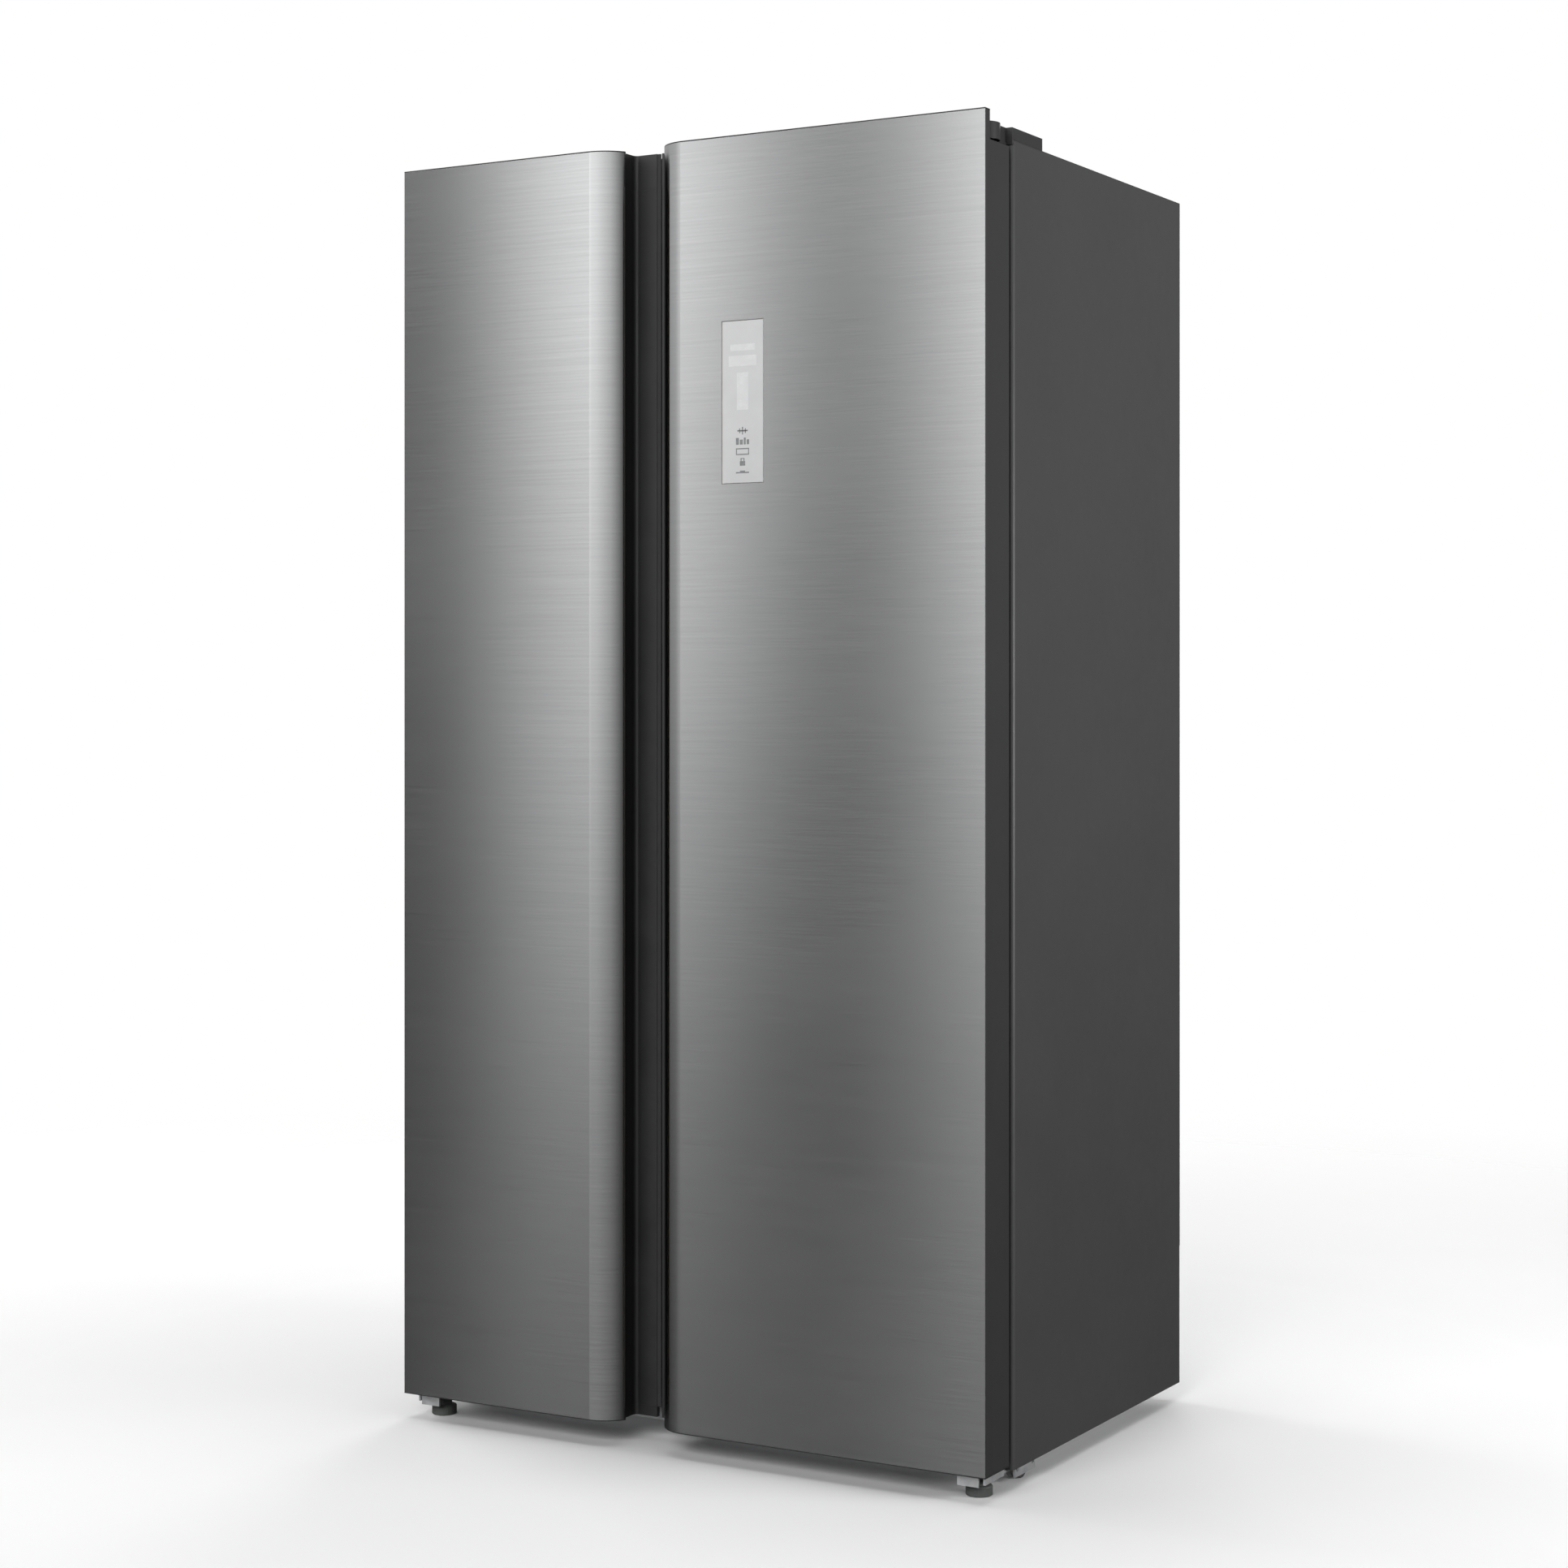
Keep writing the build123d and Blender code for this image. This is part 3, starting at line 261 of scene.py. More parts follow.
def zinc(name, tint):
    """Bright zinc plate with a passivation tint and rolled marks."""
    paint = Paint(name, metallic=0.6)
    cloud = paint.noise(42, 5, 0.62)
    tone = paint.ramp(cloud, (0.25, (0.62, 0.63, 0.65)), (0.5, (0.76, 0.77, 0.78)), (0.8, tint))
    paint.colour(tone)
    paint.roughness(paint.spread(paint.noise(130, 4, 0.6), 0.3, 0.7, 0.28, 0.46))
    paint.bump(paint.noise(1, 3, 0.6, (1800, 260, 1800)), 0.00003, 0.4)
    return paint.material


def galvanised():
    """Hot dipped sheet with its spangle."""
    paint = Paint("galvanised_sheet", metallic=0.6)
    spangle = paint.cells(85, output="Color")
    grey = paint.node("ShaderNodeRGBToBW")
    paint.link(spangle, grey.inputs["Color"])
    tone = paint.ramp(grey.outputs["Val"], (0.15, (0.50, 0.51, 0.52)), (0.85, (0.62, 0.63, 0.64)))
    tone = paint.mix(paint.spread(paint.noise(5, 4, 0.6), 0.4, 0.7, 0.0, 0.3), tone, (0.44, 0.44, 0.44))
    paint.colour(tone)
    paint.roughness(paint.spread(grey.outputs["Val"], 0.1, 0.9, 0.34, 0.52))
    paint.bump(paint.noise(700, 3, 0.6), 0.00003, 0.4)
    return paint.material


def bare_aluminium():
    """Fin and tube stock."""
    paint = Paint("fin_metal", metallic=1.0)
    tone = paint.ramp(paint.noise(70, 4, 0.6), (0.3, (0.60, 0.61, 0.62)), (0.7, (0.78, 0.79, 0.80)))
    paint.colour(tone)
    paint.roughness(paint.spread(paint.noise(200, 4, 0.6), 0.3, 0.7, 0.28, 0.45))
    paint.bump(paint.noise(1, 3, 0.6, (300, 2200, 300)), 0.00003, 0.4)
    return paint.material


def enamel():
    """Black gloss enamel on the compressor."""
    paint = Paint("black_enamel", coat_weight=0.6, coat_roughness=0.1)
    tone = paint.ramp(paint.noise(20, 4, 0.6), (0.3, (0.010, 0.010, 0.011)), (0.7, (0.022, 0.022, 0.023)))
    paint.colour(edge_wear(paint, tone, (0.16, 0.15, 0.14), 0.7))
    paint.roughness(smudges(paint, 0.25, 0.42, 12))
    paint.bump(paint.noise(320, 2, 0.5), 0.0001, 0.3)
    return paint.material


def clear_plastic(name, tint, low=0.04, high=0.12, transmission=0.92):
    """Clear moulded styrene or glass with faint flow marks."""
    paint = Paint(name, ior=1.5)
    paint.set(transmission_weight=transmission)
    tone = paint.ramp(paint.noise(6, 3, 0.5), (0.3, tint), (0.7, paler(tint, 1.05)))
    paint.colour(tone)
    paint.roughness(smudges(paint, low, high, 10))
    paint.bump(paint.noise(24, 3, 0.5), 0.0002, 0.15)
    return paint.material


def display_white():
    """Back printed acrylic of the display: pale field with a faint mottle."""
    paint = Paint("display_lens", coat_weight=0.9, coat_roughness=0.04)
    tone = paint.ramp(paint.noise(30, 3, 0.5), (0.3, (0.74, 0.745, 0.75)), (0.7, (0.79, 0.795, 0.80)))
    paint.colour(tone)
    paint.roughness(smudges(paint, 0.12, 0.22, 25))
    paint.bump(paint.noise(90, 2, 0.5), 0.00005, 0.2)
    return paint.material


def display_ink(name, dark, light):
    """Ink printed on the back of the display."""
    paint = Paint(name, coat_weight=0.9, coat_roughness=0.04)
    paint.colour(paint.ramp(paint.noise(180, 3, 0.5), (0.3, dark), (0.7, light)))
    paint.roughness(smudges(paint, 0.2, 0.32, 60))
    paint.bump(paint.noise(900, 2, 0.5), 0.00002, 0.2)
    return paint.material


def lamp_lens():
    """Frosted lens over the compartment lamps."""
    paint = Paint("lamp_lens", emission_color=(1.0, 0.97, 0.92), emission_strength=2.2)
    tone = paint.ramp(paint.cells(420), (0.0, (0.86, 0.86, 0.84)), (0.6, (0.95, 0.95, 0.93)))
    paint.colour(tone)
    paint.roughness(paint.spread(paint.noise(60, 3, 0.5), 0.3, 0.7, 0.35, 0.5))
    paint.bump(paint.cells(420), 0.0006, 0.5)
    return paint.material


def circuit_board():
    """Green solder mask with a grid of tracks."""
    paint = Paint("circuit_board", coat_weight=0.5, coat_roughness=0.2)
    tracks = paint.cells(260, feature="DISTANCE_TO_EDGE")
    tone = paint.mix(paint.spread(tracks, 0.02, 0.06, 1.0, 0.0), (0.015, 0.10, 0.035), (0.05, 0.22, 0.08))
    paint.colour(tone)
    paint.roughness(paint.spread(paint.noise(90, 3, 0.5), 0.3, 0.7, 0.3, 0.45))
    paint.bump(tracks, 0.0002, 0.4)
    return paint.material


def yellow_foam():
    """Blown polyurethane."""
    paint = Paint("insulation_foam")
    cells = paint.cells(700)
    paint.colour(paint.ramp(cells, (0.0, (0.62, 0.50, 0.26)), (0.7, (0.86, 0.76, 0.50))))
    paint.roughness(paint.spread(cells, 0.0, 0.7, 0.75, 0.95))
    paint.bump(cells, 0.0006, 0.6)
    return paint.material


GRIP_TONES = ((0.016, 0.016, 0.0165), (0.022, 0.022, 0.0225))

MATERIALS = {
    "brushed_steel": brushed_steel(),
    "cabinet_paint": textured_paint("cabinet_paint", (0.058, 0.058, 0.059), (0.066, 0.066, 0.067)),
    "door_side_paint": textured_paint("door_side_paint", (0.030, 0.030, 0.031), (0.036, 0.036, 0.037)),
    "dark_plastic": moulded("dark_plastic", (0.022, 0.022, 0.023), (0.029, 0.029, 0.030)),
    "grip_plastic": moulded("grip_plastic", *GRIP_TONES, 0.40, 0.52, 3200, 0.00003),
    "black_plastic": moulded("black_plastic", (0.014, 0.014, 0.015), (0.020, 0.020, 0.021)),
    "foot_plastic": moulded("foot_plastic", (0.085, 0.095, 0.088), (0.115, 0.125, 0.115)),
    "roller_nylon": moulded("roller_nylon", (0.05, 0.05, 0.05), (0.08, 0.08, 0.08)),
    "black_rubber": rubber(),
    "zinc_plate": zinc("zinc_plate", (0.82, 0.82, 0.76)),
    "galvanised_sheet": galvanised(),
    "fin_metal": bare_aluminium(),
    "black_enamel": enamel(),
    "white_liner": gloss_white("white_liner", (0.80, 0.81, 0.81), (0.86, 0.87, 0.87)),
    "white_plastic": gloss_white("white_plastic", (0.76, 0.77, 0.78), (0.83, 0.84, 0.85), 0.28, 0.42),
    "clear_shelf": clear_plastic("clear_shelf", (0.80, 0.92, 0.90)),
    "clear_drawer": clear_plastic("clear_drawer", (0.84, 0.90, 0.94), 0.10, 0.22, 0.8),
    "clear_bin": clear_plastic("clear_bin", (0.86, 0.92, 0.95), 0.06, 0.16, 0.85),
    "display_lens": display_white(),
    "display_marks": display_ink("display_marks", (0.20, 0.205, 0.21), (0.27, 0.275, 0.28)),
    "display_windows": display_ink("display_windows", (0.84, 0.845, 0.85), (0.88, 0.885, 0.89)),
    "lamp_lens": lamp_lens(),
    "circuit_board": circuit_board(),
    "insulation_foam": yellow_foam(),
}


# ---------------------------------------------------------------- mesh helpers


def finish_mesh(obj, sharp_degrees=32):
    """Smooth shading, broken at real edges, with flat faces kept flat."""
    mesh = obj.data
    mesh.polygons.foreach_set("use_smooth", [True] * len(mesh.polygons))
    mesh.set_sharp_from_angle(angle=math.radians(sharp_degrees))
    modifier = obj.modifiers.new("weights", "WEIGHTED_NORMAL")
    modifier.mode = "FACE_AREA"
    modifier.weight = 100
    modifier.keep_sharp = True
    applied(obj)


def applied(obj):
    """Replaces an object's mesh with its modifiers' result."""
    bpy.context.view_layer.update()
    graph = bpy.context.evaluated_depsgraph_get()
    mesh = bpy.data.meshes.new_from_object(obj.evaluated_get(graph))
    obj.modifiers.clear()
    obj.data = mesh
    return obj


def add_object(name, mesh, body, slot_name):
    """A new piece in the scene, with its body, slot and material."""
    obj = bpy.data.objects.new(name, mesh)
    bpy.context.scene.collection.objects.link(obj)
    mesh.materials.clear()
    mesh.materials.append(MATERIALS[slot_name])
    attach(obj, body)
    return obj


def dressed(obj, name):
    """Gives a piece another material than its slot's own."""
    obj.data.materials[0] = MATERIALS[name]
    return obj


def bevelled(obj, width, segments=2, angle=32):
    """Rounds an object's sharp edges and applies the result."""
    modifier = obj.modifiers.new("round", "BEVEL")
    modifier.width = width
    modifier.segments = segments
    modifier.limit_method = "ANGLE"
    modifier.angle_limit = math.radians(angle)
    modifier.use_clamp_overlap = True
    modifier.harden_normals = False
    return applied(obj)


def refined(node, width=0.4 * MM, segments=2):
    """A CAD node redrawn with clean faces and rounded edges, in its own material."""
    mesh = NODES[node].data.copy()
    work = bmesh.new()
    work.from_mesh(mesh)
    bmesh.ops.remove_doubles(work, verts=work.verts, dist=0.005 * MM)
    bmesh.ops.dissolve_limit(work, angle_limit=math.radians(1.0), verts=work.verts, edges=work.edges)
    work.to_mesh(mesh)
    work.free()
    mesh.name = "clean_" + node
    obj = add_object("fine_" + node, mesh, BODY_OF[node], SLOT_OF[node])
    if width:
        bevelled(obj, width, segments)
    finish_mesh(obj)
    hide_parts(node)
    return obj


class Shape:
    """Collects the solids of one piece, in metres."""

    def __init__(self):
        self.work = bmesh.new()

    def rows(self, rows, closed_ends=True, closed_rows=True):
        """Skins rows of points of equal length into a surface."""
        made = [[self.work.verts.new(point) for point in row] for row in rows]
        count = len(made[0])
        for row, after in zip(made, made[1:]):
            for index in range(count if closed_rows else count - 1):
                following = (index + 1) % count
                self.work.faces.new((row[index], row[following], after[following], after[index]))
        if closed_ends:
            self.work.faces.new(made[0][::-1])
            self.work.faces.new(made[-1])
        return self

    def loop(self, rows):
        """Skins rows of points into a surface that closes on its first row."""
        made = [[self.work.verts.new(point) for point in row] for row in rows]
        count = len(made[0])
        for row, after in zip(made, made[1:] + made[:1]):
            for index in range(count):
                following = (index + 1) % count
                self.work.faces.new((row[index], row[following], after[following], after[index]))
        return self

    def prism(self, outline, low, high, axis="Z"):
        """An outline drawn along an axis: XY outlines along Z, XZ along Y, YZ along X."""
        return self.rows([[placed(a, b, height, axis) for a, b in outline] for height in (low, high)])

    def box(self, x, y, z):
        return self.prism([(x[0], y[0]), (x[1], y[0]), (x[1], y[1]), (x[0], y[1])], *z)

    def lathe(self, profile, centre, axis="Z", steps=48, ridge=0.0):
        """Turns (radius, height) points round an axis; ridge draws every second step in."""
        rows = []
        for radius, height in profile:
            row = []
            for step in range(steps):
                turn = 2 * math.pi * step / steps
                reach = radius - (ridge if step % 2 and radius > 2 * ridge else 0.0)
                row.append(placed(reach * math.cos(turn), reach * math.sin(turn), height, axis, centre))
            rows.append(row)
        return self.rows(rows)

    def ring(self, profile, x, z):
        """Carries a closed (inset, y) profile round an upright rectangle."""
        rows = []
        for side_x, side_z in ((0, 0), (1, 0), (1, 1), (0, 1)):
            row = []
            for inset, y in profile:
                row.append((x[side_x] + inset * (1 - 2 * side_x), y, z[side_z] + inset * (1 - 2 * side_z)))
            rows.append(row)
        return self.loop(rows)

    def piece(self, name, body, slot_name, *replaced, edge=0.0, segments=2, sharp=32):
        """Turns what was collected into a finished piece."""
        bmesh.ops.recalc_face_normals(self.work, faces=self.work.faces)
        mesh = bpy.data.meshes.new(name)
        self.work.to_mesh(mesh)
        self.work.free()
        obj = add_object(name, mesh, body, slot_name)
        if edge:
            bevelled(obj, edge, segments)
        finish_mesh(obj, sharp)
        if replaced:
            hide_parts(*replaced)
        return obj


def placed(a, b, height, axis, centre=(0, 0, 0)):
    """A point from two places across an axis and one along it."""
    point = {"Z": (a, b, height), "Y": (a, height, b), "X": (height, a, b)}[axis]
    return tuple(part + middle for part, middle in zip(point, centre))


def arc(centre_a, centre_b, radius, start, end, steps):
    """Points of an arc, angles in degrees."""
    points = []
    for step in range(steps + 1):
        turn = math.radians(start + (end - start) * step / steps)
        points.append((centre_a + radius * math.cos(turn), centre_b + radius * math.sin(turn)))
    return points


# ---------------------------------------------------------------- doors

BEND_RADIUS = 53 * MM
BEND_WIDTH = 45 * MM
BEND_CREASE = 4.5
SHEET = 1 * MM
DISPLAY_GAP = 0.5 * MM
RECESS_WALL = 2.5 * MM
RECESS_UNDERCUT = 7 * MM
RECESS_LIP = 2.4 * MM
RECESS_CORNER = 6 * MM
RECESS_STRIP = 7 * MM
SEAM_LIP_REACH = 5.5 * MM
GASKET_WIDTH = 19 * MM
NOTCH_DROP = 38 * MM


def front_sheet(name, side):
    """Steel front sheet: flat, then bent back to the hand recess, and open for the display."""
    node = name + "_skin"
    low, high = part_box(node)
    hinge_x, edge_x = (high[0], low[0]) if side > 0 else (low[0], high[0])
    front = low[1]
    bend_x = edge_x + side * BEND_WIDTH
    turn = math.degrees(math.asin(BEND_WIDTH / BEND_RADIUS))
    crease_rise = BEND_RADIUS * math.cos(math.radians(BEND_CREASE))
    columns = [(hinge_x, front)]
    rows = [low[2], high[2]]
    hole = None
    if side > 0:
        lens_low, lens_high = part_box("display_lens")
        hole_x = (lens_low[0] - DISPLAY_GAP, lens_high[0] + DISPLAY_GAP)
        hole_z = (lens_low[2] - DISPLAY_GAP, lens_high[2] + DISPLAY_GAP)
        columns += [(hole_x[1], front), (hole_x[0], front)]
        rows = [low[2], *hole_z, high[2]]
        hole = (1, 1)
    bend = arc(0, 0, BEND_RADIUS, BEND_CREASE, turn, 40)
    columns += [(bend_x - side * b, front + crease_rise - a) for a, b in bend]
    work = bmesh.new()
    grid = [[work.verts.new((x, y, z)) for z in rows] for x, y in columns]
    for i in range(len(columns) - 1):
        for j in range(len(rows) - 1):
            if (i, j) != hole:
                work.faces.new((grid[i][j], grid[i + 1][j], grid[i + 1][j + 1], grid[i][j + 1]))
    for face in work.faces:
        face.normal_update()
    if sum(face.normal.y for face in work.faces) > 0:
        bmesh.ops.reverse_faces(work, faces=work.faces)
    mesh = bpy.data.meshes.new(node)
    work.to_mesh(mesh)
    work.free()
    obj = add_object(name + "_front_sheet", mesh, name, "brushed_steel")
    solid = obj.modifiers.new("thick", "SOLIDIFY")
    solid.thickness = SHEET
    solid.offset = -1
    applied(obj)
    bevelled(obj, 0.3 * MM, 3, 50)
    finish_mesh(obj, BEND_CREASE - 1)
    obj.visible_glossy = False
    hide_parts(node)


def hand_recess(name, side):
    """Dark moulding of the hand recess: a channel behind the front sheet and a strip to the seam."""
    node = name + "_grip"
    low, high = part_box(node)
    seam_x = low[0] if side > 0 else high[0]
    wide = high[0] - low[0]
    deep = high[1] - low[1]
    wall_at = wide - RECESS_WALL
    lip_at = wall_at - RECESS_UNDERCUT
    strip_at = deep - RECESS_STRIP
    corner = wall_at - RECESS_CORNER
    section = [(lip_at, 0), (wide, 0), (wide, deep), (0, deep), (0, strip_at)]
    section += arc(corner, strip_at - RECESS_CORNER, RECESS_CORNER, 90, 0, 8)
    section += arc(corner, RECESS_LIP + RECESS_CORNER, RECESS_CORNER, 0, -90, 8)
    section.append((lip_at, RECESS_LIP))
    outline = [(seam_x + side * across, low[1] + depth) for across, depth in section]
    recess = Shape().prism(outline, low[2], high[2])
    moulding = recess.piece(
        name + "_hand_recess", name, "dark_plastic", node, edge=0.35 * MM, segments=3, sharp=40)
    dressed(moulding, "grip_plastic")


def seam_shade_lip():
    """Soft black rubber lip on the freezer door that covers most of the seam between the doors; its black is
    partly the lip's own and partly painted shade that keeps the seam dark.
    """
    low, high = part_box("freezer_door_grip")
    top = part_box("freezer_door_end_caps")[1][2]
    x0, x1 = high[0] - 0.5 * MM, high[0] + SEAM_LIP_REACH
    y0, y1 = high[1] - 6 * MM, high[1] - 1 * MM
    nose_x = x1 - 2 * MM
    section = [(x0, y0), (nose_x, y0), (x1, y0 + 1 * MM), (x1, y0 + 2 * MM), (nose_x, y1), (x0, y1)]
    # Black rubber over the seam: a real lip, also used as painted shade in the seam.
    lip = Shape().prism(section, low[2], top - 0.2 * MM)
    lip.piece("seam_shade_lip", "freezer_door", "black_rubber", edge=0.3 * MM, sharp=50)


def gasket(name):
    """Magnetic gasket: foot in the lining, two bellows folds and the bulb that holds the magnet."""
    low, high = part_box(name + "_gasket")
    back = low[1]
    deep = high[1] - back
    inner_side = [
        (0.32, 0.0), (0.10, 0.10), (0.02, 0.22), (0.10, 0.32), (0.24, 0.36), (0.10, 0.42),
        (0.0, 0.55), (0.02, 0.72), (0.10, 0.90), (0.24, 1.0),
    ]
    outer_side = [
        (0.78, 1.0), (0.92, 0.88), (1.0, 0.62), (0.90, 0.46), (0.74, 0.40), (0.90, 0.30),
        (0.94, 0.14), (0.70, 0.0),
    ]
    profile = [(across * GASKET_WIDTH, back + depth * deep) for across, depth in inner_side + outer_side]
    shape = Shape().ring(profile, (low[0], high[0]), (low[2], high[2]))
    shape.piece(name + "_gasket_bellows", name, "black_rubber", name + "_gasket", edge=0.25 * MM, sharp=60)


def gap_shade_lip(name, side):
    """Soft black rubber lip along the hinge side, put in the gap to the cabinet as painted shade: a dark
    strip that stands in for the shade of the gap.
    """
    low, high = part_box(name + "_side_trim")
    back = high[1]
    outer_x = high[0] if side > 0 else low[0]
    section = [(24.5, 0.2), (4.0, 0.2), (3.2, 2.0), (3.4, 5.2), (4.6, 6.0), (9.0, 3.6), (24.5, 3.0)]
    outline = [(outer_x - side * inset * MM, back + depth * MM) for inset, depth in section]
    # The lip's black is painted shade for the gap between the door and the cabinet.
    lip = Shape().prism(outline, low[2] + 2 * MM, high[2] - NOTCH_DROP)
    lip.piece(name + "_gap_shade_lip", name, "black_rubber", edge=0.3 * MM, sharp=50)


def icon_strokes():
    """Line icons from the lowest up, each two units wide and one high, as (x0, x1, z0, z1) strokes."""
    dash = [(-1, 1, -0.12, 0.06), (-0.4, 0.4, 0.06, 0.22)]
    lock = [(-0.4, 0.4, -0.5, 0.1), (-0.3, -0.15, 0.1, 0.5), (0.15, 0.3, 0.1, 0.5), (-0.3, 0.3, 0.4, 0.5)]
    frame_mark = [(-1, 1, -0.45, -0.3), (-1, 1, 0.3, 0.45), (-1, -0.85, -0.3, 0.3), (0.85, 1, -0.3, 0.3)]
    keys = [(-1, -0.55, -0.45, 0.45), (-0.4, 0.05, -0.45, 0.2)]
    keys += [(0.2, 0.5, -0.45, 0.45), (0.65, 1, -0.45, 0.2)]
    flake = [(-0.8, 0.8, -0.1, 0.1), (-0.08, 0.08, -0.5, 0.5)]
    flake += [(-0.5, -0.36, -0.32, 0.32), (0.36, 0.5, -0.32, 0.32)]
    return [dash, lock, frame_mark, keys, flake]


def display():
    """Printed marks under the surface of the display: windows at the top, touch marks below."""
    low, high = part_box("display_lens")
    front = low[1]
    middle = (low[0] + high[0]) / 2
    tall = high[2] - low[2]
    wide = high[0] - low[0]
    marks = Shape()
    icon_wide = 0.16 * wide
    for index, strokes in enumerate(icon_strokes()):
        z = low[2] + (0.065 + 0.064 * index) * tall
        for x0, x1, z0, z1 in strokes:
            marks.box(
                (middle + x0 * icon_wide, middle + x1 * icon_wide),
                (front - 0.05 * MM, front + 0.2 * MM),
                (z + z0 * icon_wide, z + z1 * icon_wide),
            )
    dressed(marks.piece("display_touch_marks", "fridge_door", "display_lens"), "display_marks")
    panes = Shape()
    for x_share, z_low, z_high in ((0.30, 0.815, 0.855), (0.34, 0.72, 0.785), (0.14, 0.45, 0.68)):
        panes.box(
            (middle - x_share * wide, middle + x_share * wide),
            (front - 0.04 * MM, front + 0.2 * MM),
            (low[2] + z_low * tall, low[2] + z_high * tall),
        )
    dressed(panes.piece("display_windows", "fridge_door", "display_lens"), "display_windows")


for side_sign, door_name in ((1, "fridge_door"), (-1, "freezer_door")):
    front_sheet(door_name, side_sign)
    hand_recess(door_name, side_sign)
    gasket(door_name)
    # The hinge-side lip is black rubber put in as painted shade of the gap to the cabinet.
    gap_shade_lip(door_name, side_sign)
# The seam lip's black also serves as painted shade in the seam between the doors.
seam_shade_lip()
display()


# ---------------------------------------------------------------- feet, covers and fixings

# Levelling foot, in millimetres
NUT_TOP = 21
THREAD_PITCH = 1.25
THREAD_ROOT = 4.3
THREAD_CREST = 5.0

# Louvres of the rear cover
LOUVRE_ROWS = 5
LOUVRE_COLUMNS = 14
LOUVRE_LEFT = -400 * MM
LOUVRE_LOW = 70 * MM
LOUVRE_STEP = 52 * MM
LOUVRE_RISE = 30 * MM
LOUVRE_WIDE = 38 * MM
LOUVRE_SHEET = 0.6 * MM


def hex_screw(shape, centre, radius, axis, out):
    """Flanged hexagon head that stands out along an axis, with a dished top."""
    flange = [(0.4 * radius, 0), (radius, 0), (radius, 0.12 * radius), (0.8 * radius, 0.22 * radius)]
    shape.lathe([(r, out * h) for r, h in flange], centre, axis, 32)
    head = [(0.72, 0.15), (0.72, 0.62), (0.62, 0.72), (0.4, 0.72), (0.3, 0.6)]
    shape.lathe([(r * radius, out * h * radius) for r, h in head], centre, axis, 6)


def foot(side):
    """Levelling foot: ribbed pad, hexagon and threaded stud, in millimetres above the floor."""
    node = "front_foot_" + side
    low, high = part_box(node)
    centre = ((low[0] + high[0]) / 2, (low[1] + high[1]) / 2, 0)
    radius = (high[0] - low[0]) / 2
    pad = Shape()
    rim = [(0.90, 0.0), (0.97, 0.6), (1.0, 1.6), (1.0, 11.6), (0.95, 13.0), (0.86, 13.8), (0.72, 14.0)]
    pad.lathe([(r * radius, h * MM) for r, h in rim], centre, "Z", 96, 0.35 * MM)
    nut = [(12.0, 14.0), (12.0, NUT_TOP - 1.2), (11.2, NUT_TOP), (6.5, NUT_TOP)]
    pad.lathe([(r * MM, h * MM) for r, h in nut], centre, "Z", 6)
    pad.piece("foot_pad_" + side, node, "foot_plastic", node, edge=0.25 * MM, sharp=28)
    stud = Shape()
    turns = []
    count = int((high[2] / MM - NUT_TOP) / THREAD_PITCH)
    for turn in range(count):
        base = NUT_TOP + turn * THREAD_PITCH
        turns += [(THREAD_ROOT, base), (THREAD_CREST, base + 0.5 * THREAD_PITCH)]
    turns.append((THREAD_ROOT, NUT_TOP + count * THREAD_PITCH))
    stud.lathe([(r * MM, h * MM) for r, h in turns], centre, "Z", 40)
    stud.piece("foot_stud_" + side, node, "zinc_plate", sharp=20)


def hinge_cover_details(side):
    """Screw in its dished seat on top of the hinge cover."""
    low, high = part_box("hinge_cover_" + side)
    middle_x = (low[0] + high[0]) / 2
    place = (middle_x, high[1] - 24 * MM, high[2] - 2.6 * MM)
    screw = Shape()
    hex_screw(screw, place, 4.0 * MM, "Z", 0.9)
    screw.piece("hinge_cover_screw_" + side, "cabinet", "zinc_plate", sharp=28)


def rear_cover_details():
    """Bent louvre hoods and screws of the cover over the compressor."""
    low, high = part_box("compressor_cover")
    back = high[1]
    hoods = Shape()
    lid = [(0, 9.5), (4.5, 1), (3.8, 0.6), (0, 8.2)]
    cheek = [(0, 8.4), (3.9, 0.9), (0, 0.5)]
    for row in range(LOUVRE_ROWS):
        z = LOUVRE_LOW + row * LOUVRE_RISE
        lid_here = [(back + out * MM, z + up * MM) for out, up in lid]
        cheek_here = [(back + out * MM, z + up * MM) for out, up in cheek]
        for column in range(LOUVRE_COLUMNS):
            x = LOUVRE_LEFT + column * LOUVRE_STEP
            hoods.prism(lid_here, x, x + LOUVRE_WIDE, "X")
            for end in (x, x + LOUVRE_WIDE - LOUVRE_SHEET):
                hoods.prism(cheek_here, end, end + LOUVRE_SHEET, "X")
    hoods.piece("louvre_hoods", "cabinet", "galvanised_sheet")
    screws = Shape()
    for share in (0.02, 0.26, 0.5, 0.74, 0.98):
        x = low[0] + share * (high[0] - low[0])
        for z in (low[2] + 10 * MM, high[2] - 10 * MM):
            hex_screw(screws, (x, back, z), 5 * MM, "Y", 1)
    screws.piece("rear_cover_screws", "cabinet", "zinc_plate", sharp=28)


for side_name in ("left", "right"):
    foot(side_name)
    hinge_cover_details(side_name)
rear_cover_details()


# ---------------------------------------------------------------- inside the compartments

SHELF_LEVELS = {"freezer": (500, 790, 1080, 1370), "fridge": (490, 740, 990, 1240)}
FRAME_BELOW = 8 * MM
GLASS = 4 * MM
LENS_WIDE = 120 * MM
LENS_RIBS = 24
DRAWER_RIM = 6 * MM

# Door bins: height of the floor, height of the wall and place of the front, in millimetres
BINS = ((136, 105, -178), (500, 95, -145), (850, 95, -145), (1250, 95, -145))


def rounded(x, y, radius, steps=5):
    """Outline of a rounded rectangle."""
    points = arc(x[1] - radius, y[0] + radius, radius, -90, 0, steps)
    points += arc(x[1] - radius, y[1] - radius, radius, 0, 90, steps)
    points += arc(x[0] + radius, y[1] - radius, radius, 90, 180, steps)
    return points + arc(x[0] + radius, y[0] + radius, radius, 180, 270, steps)


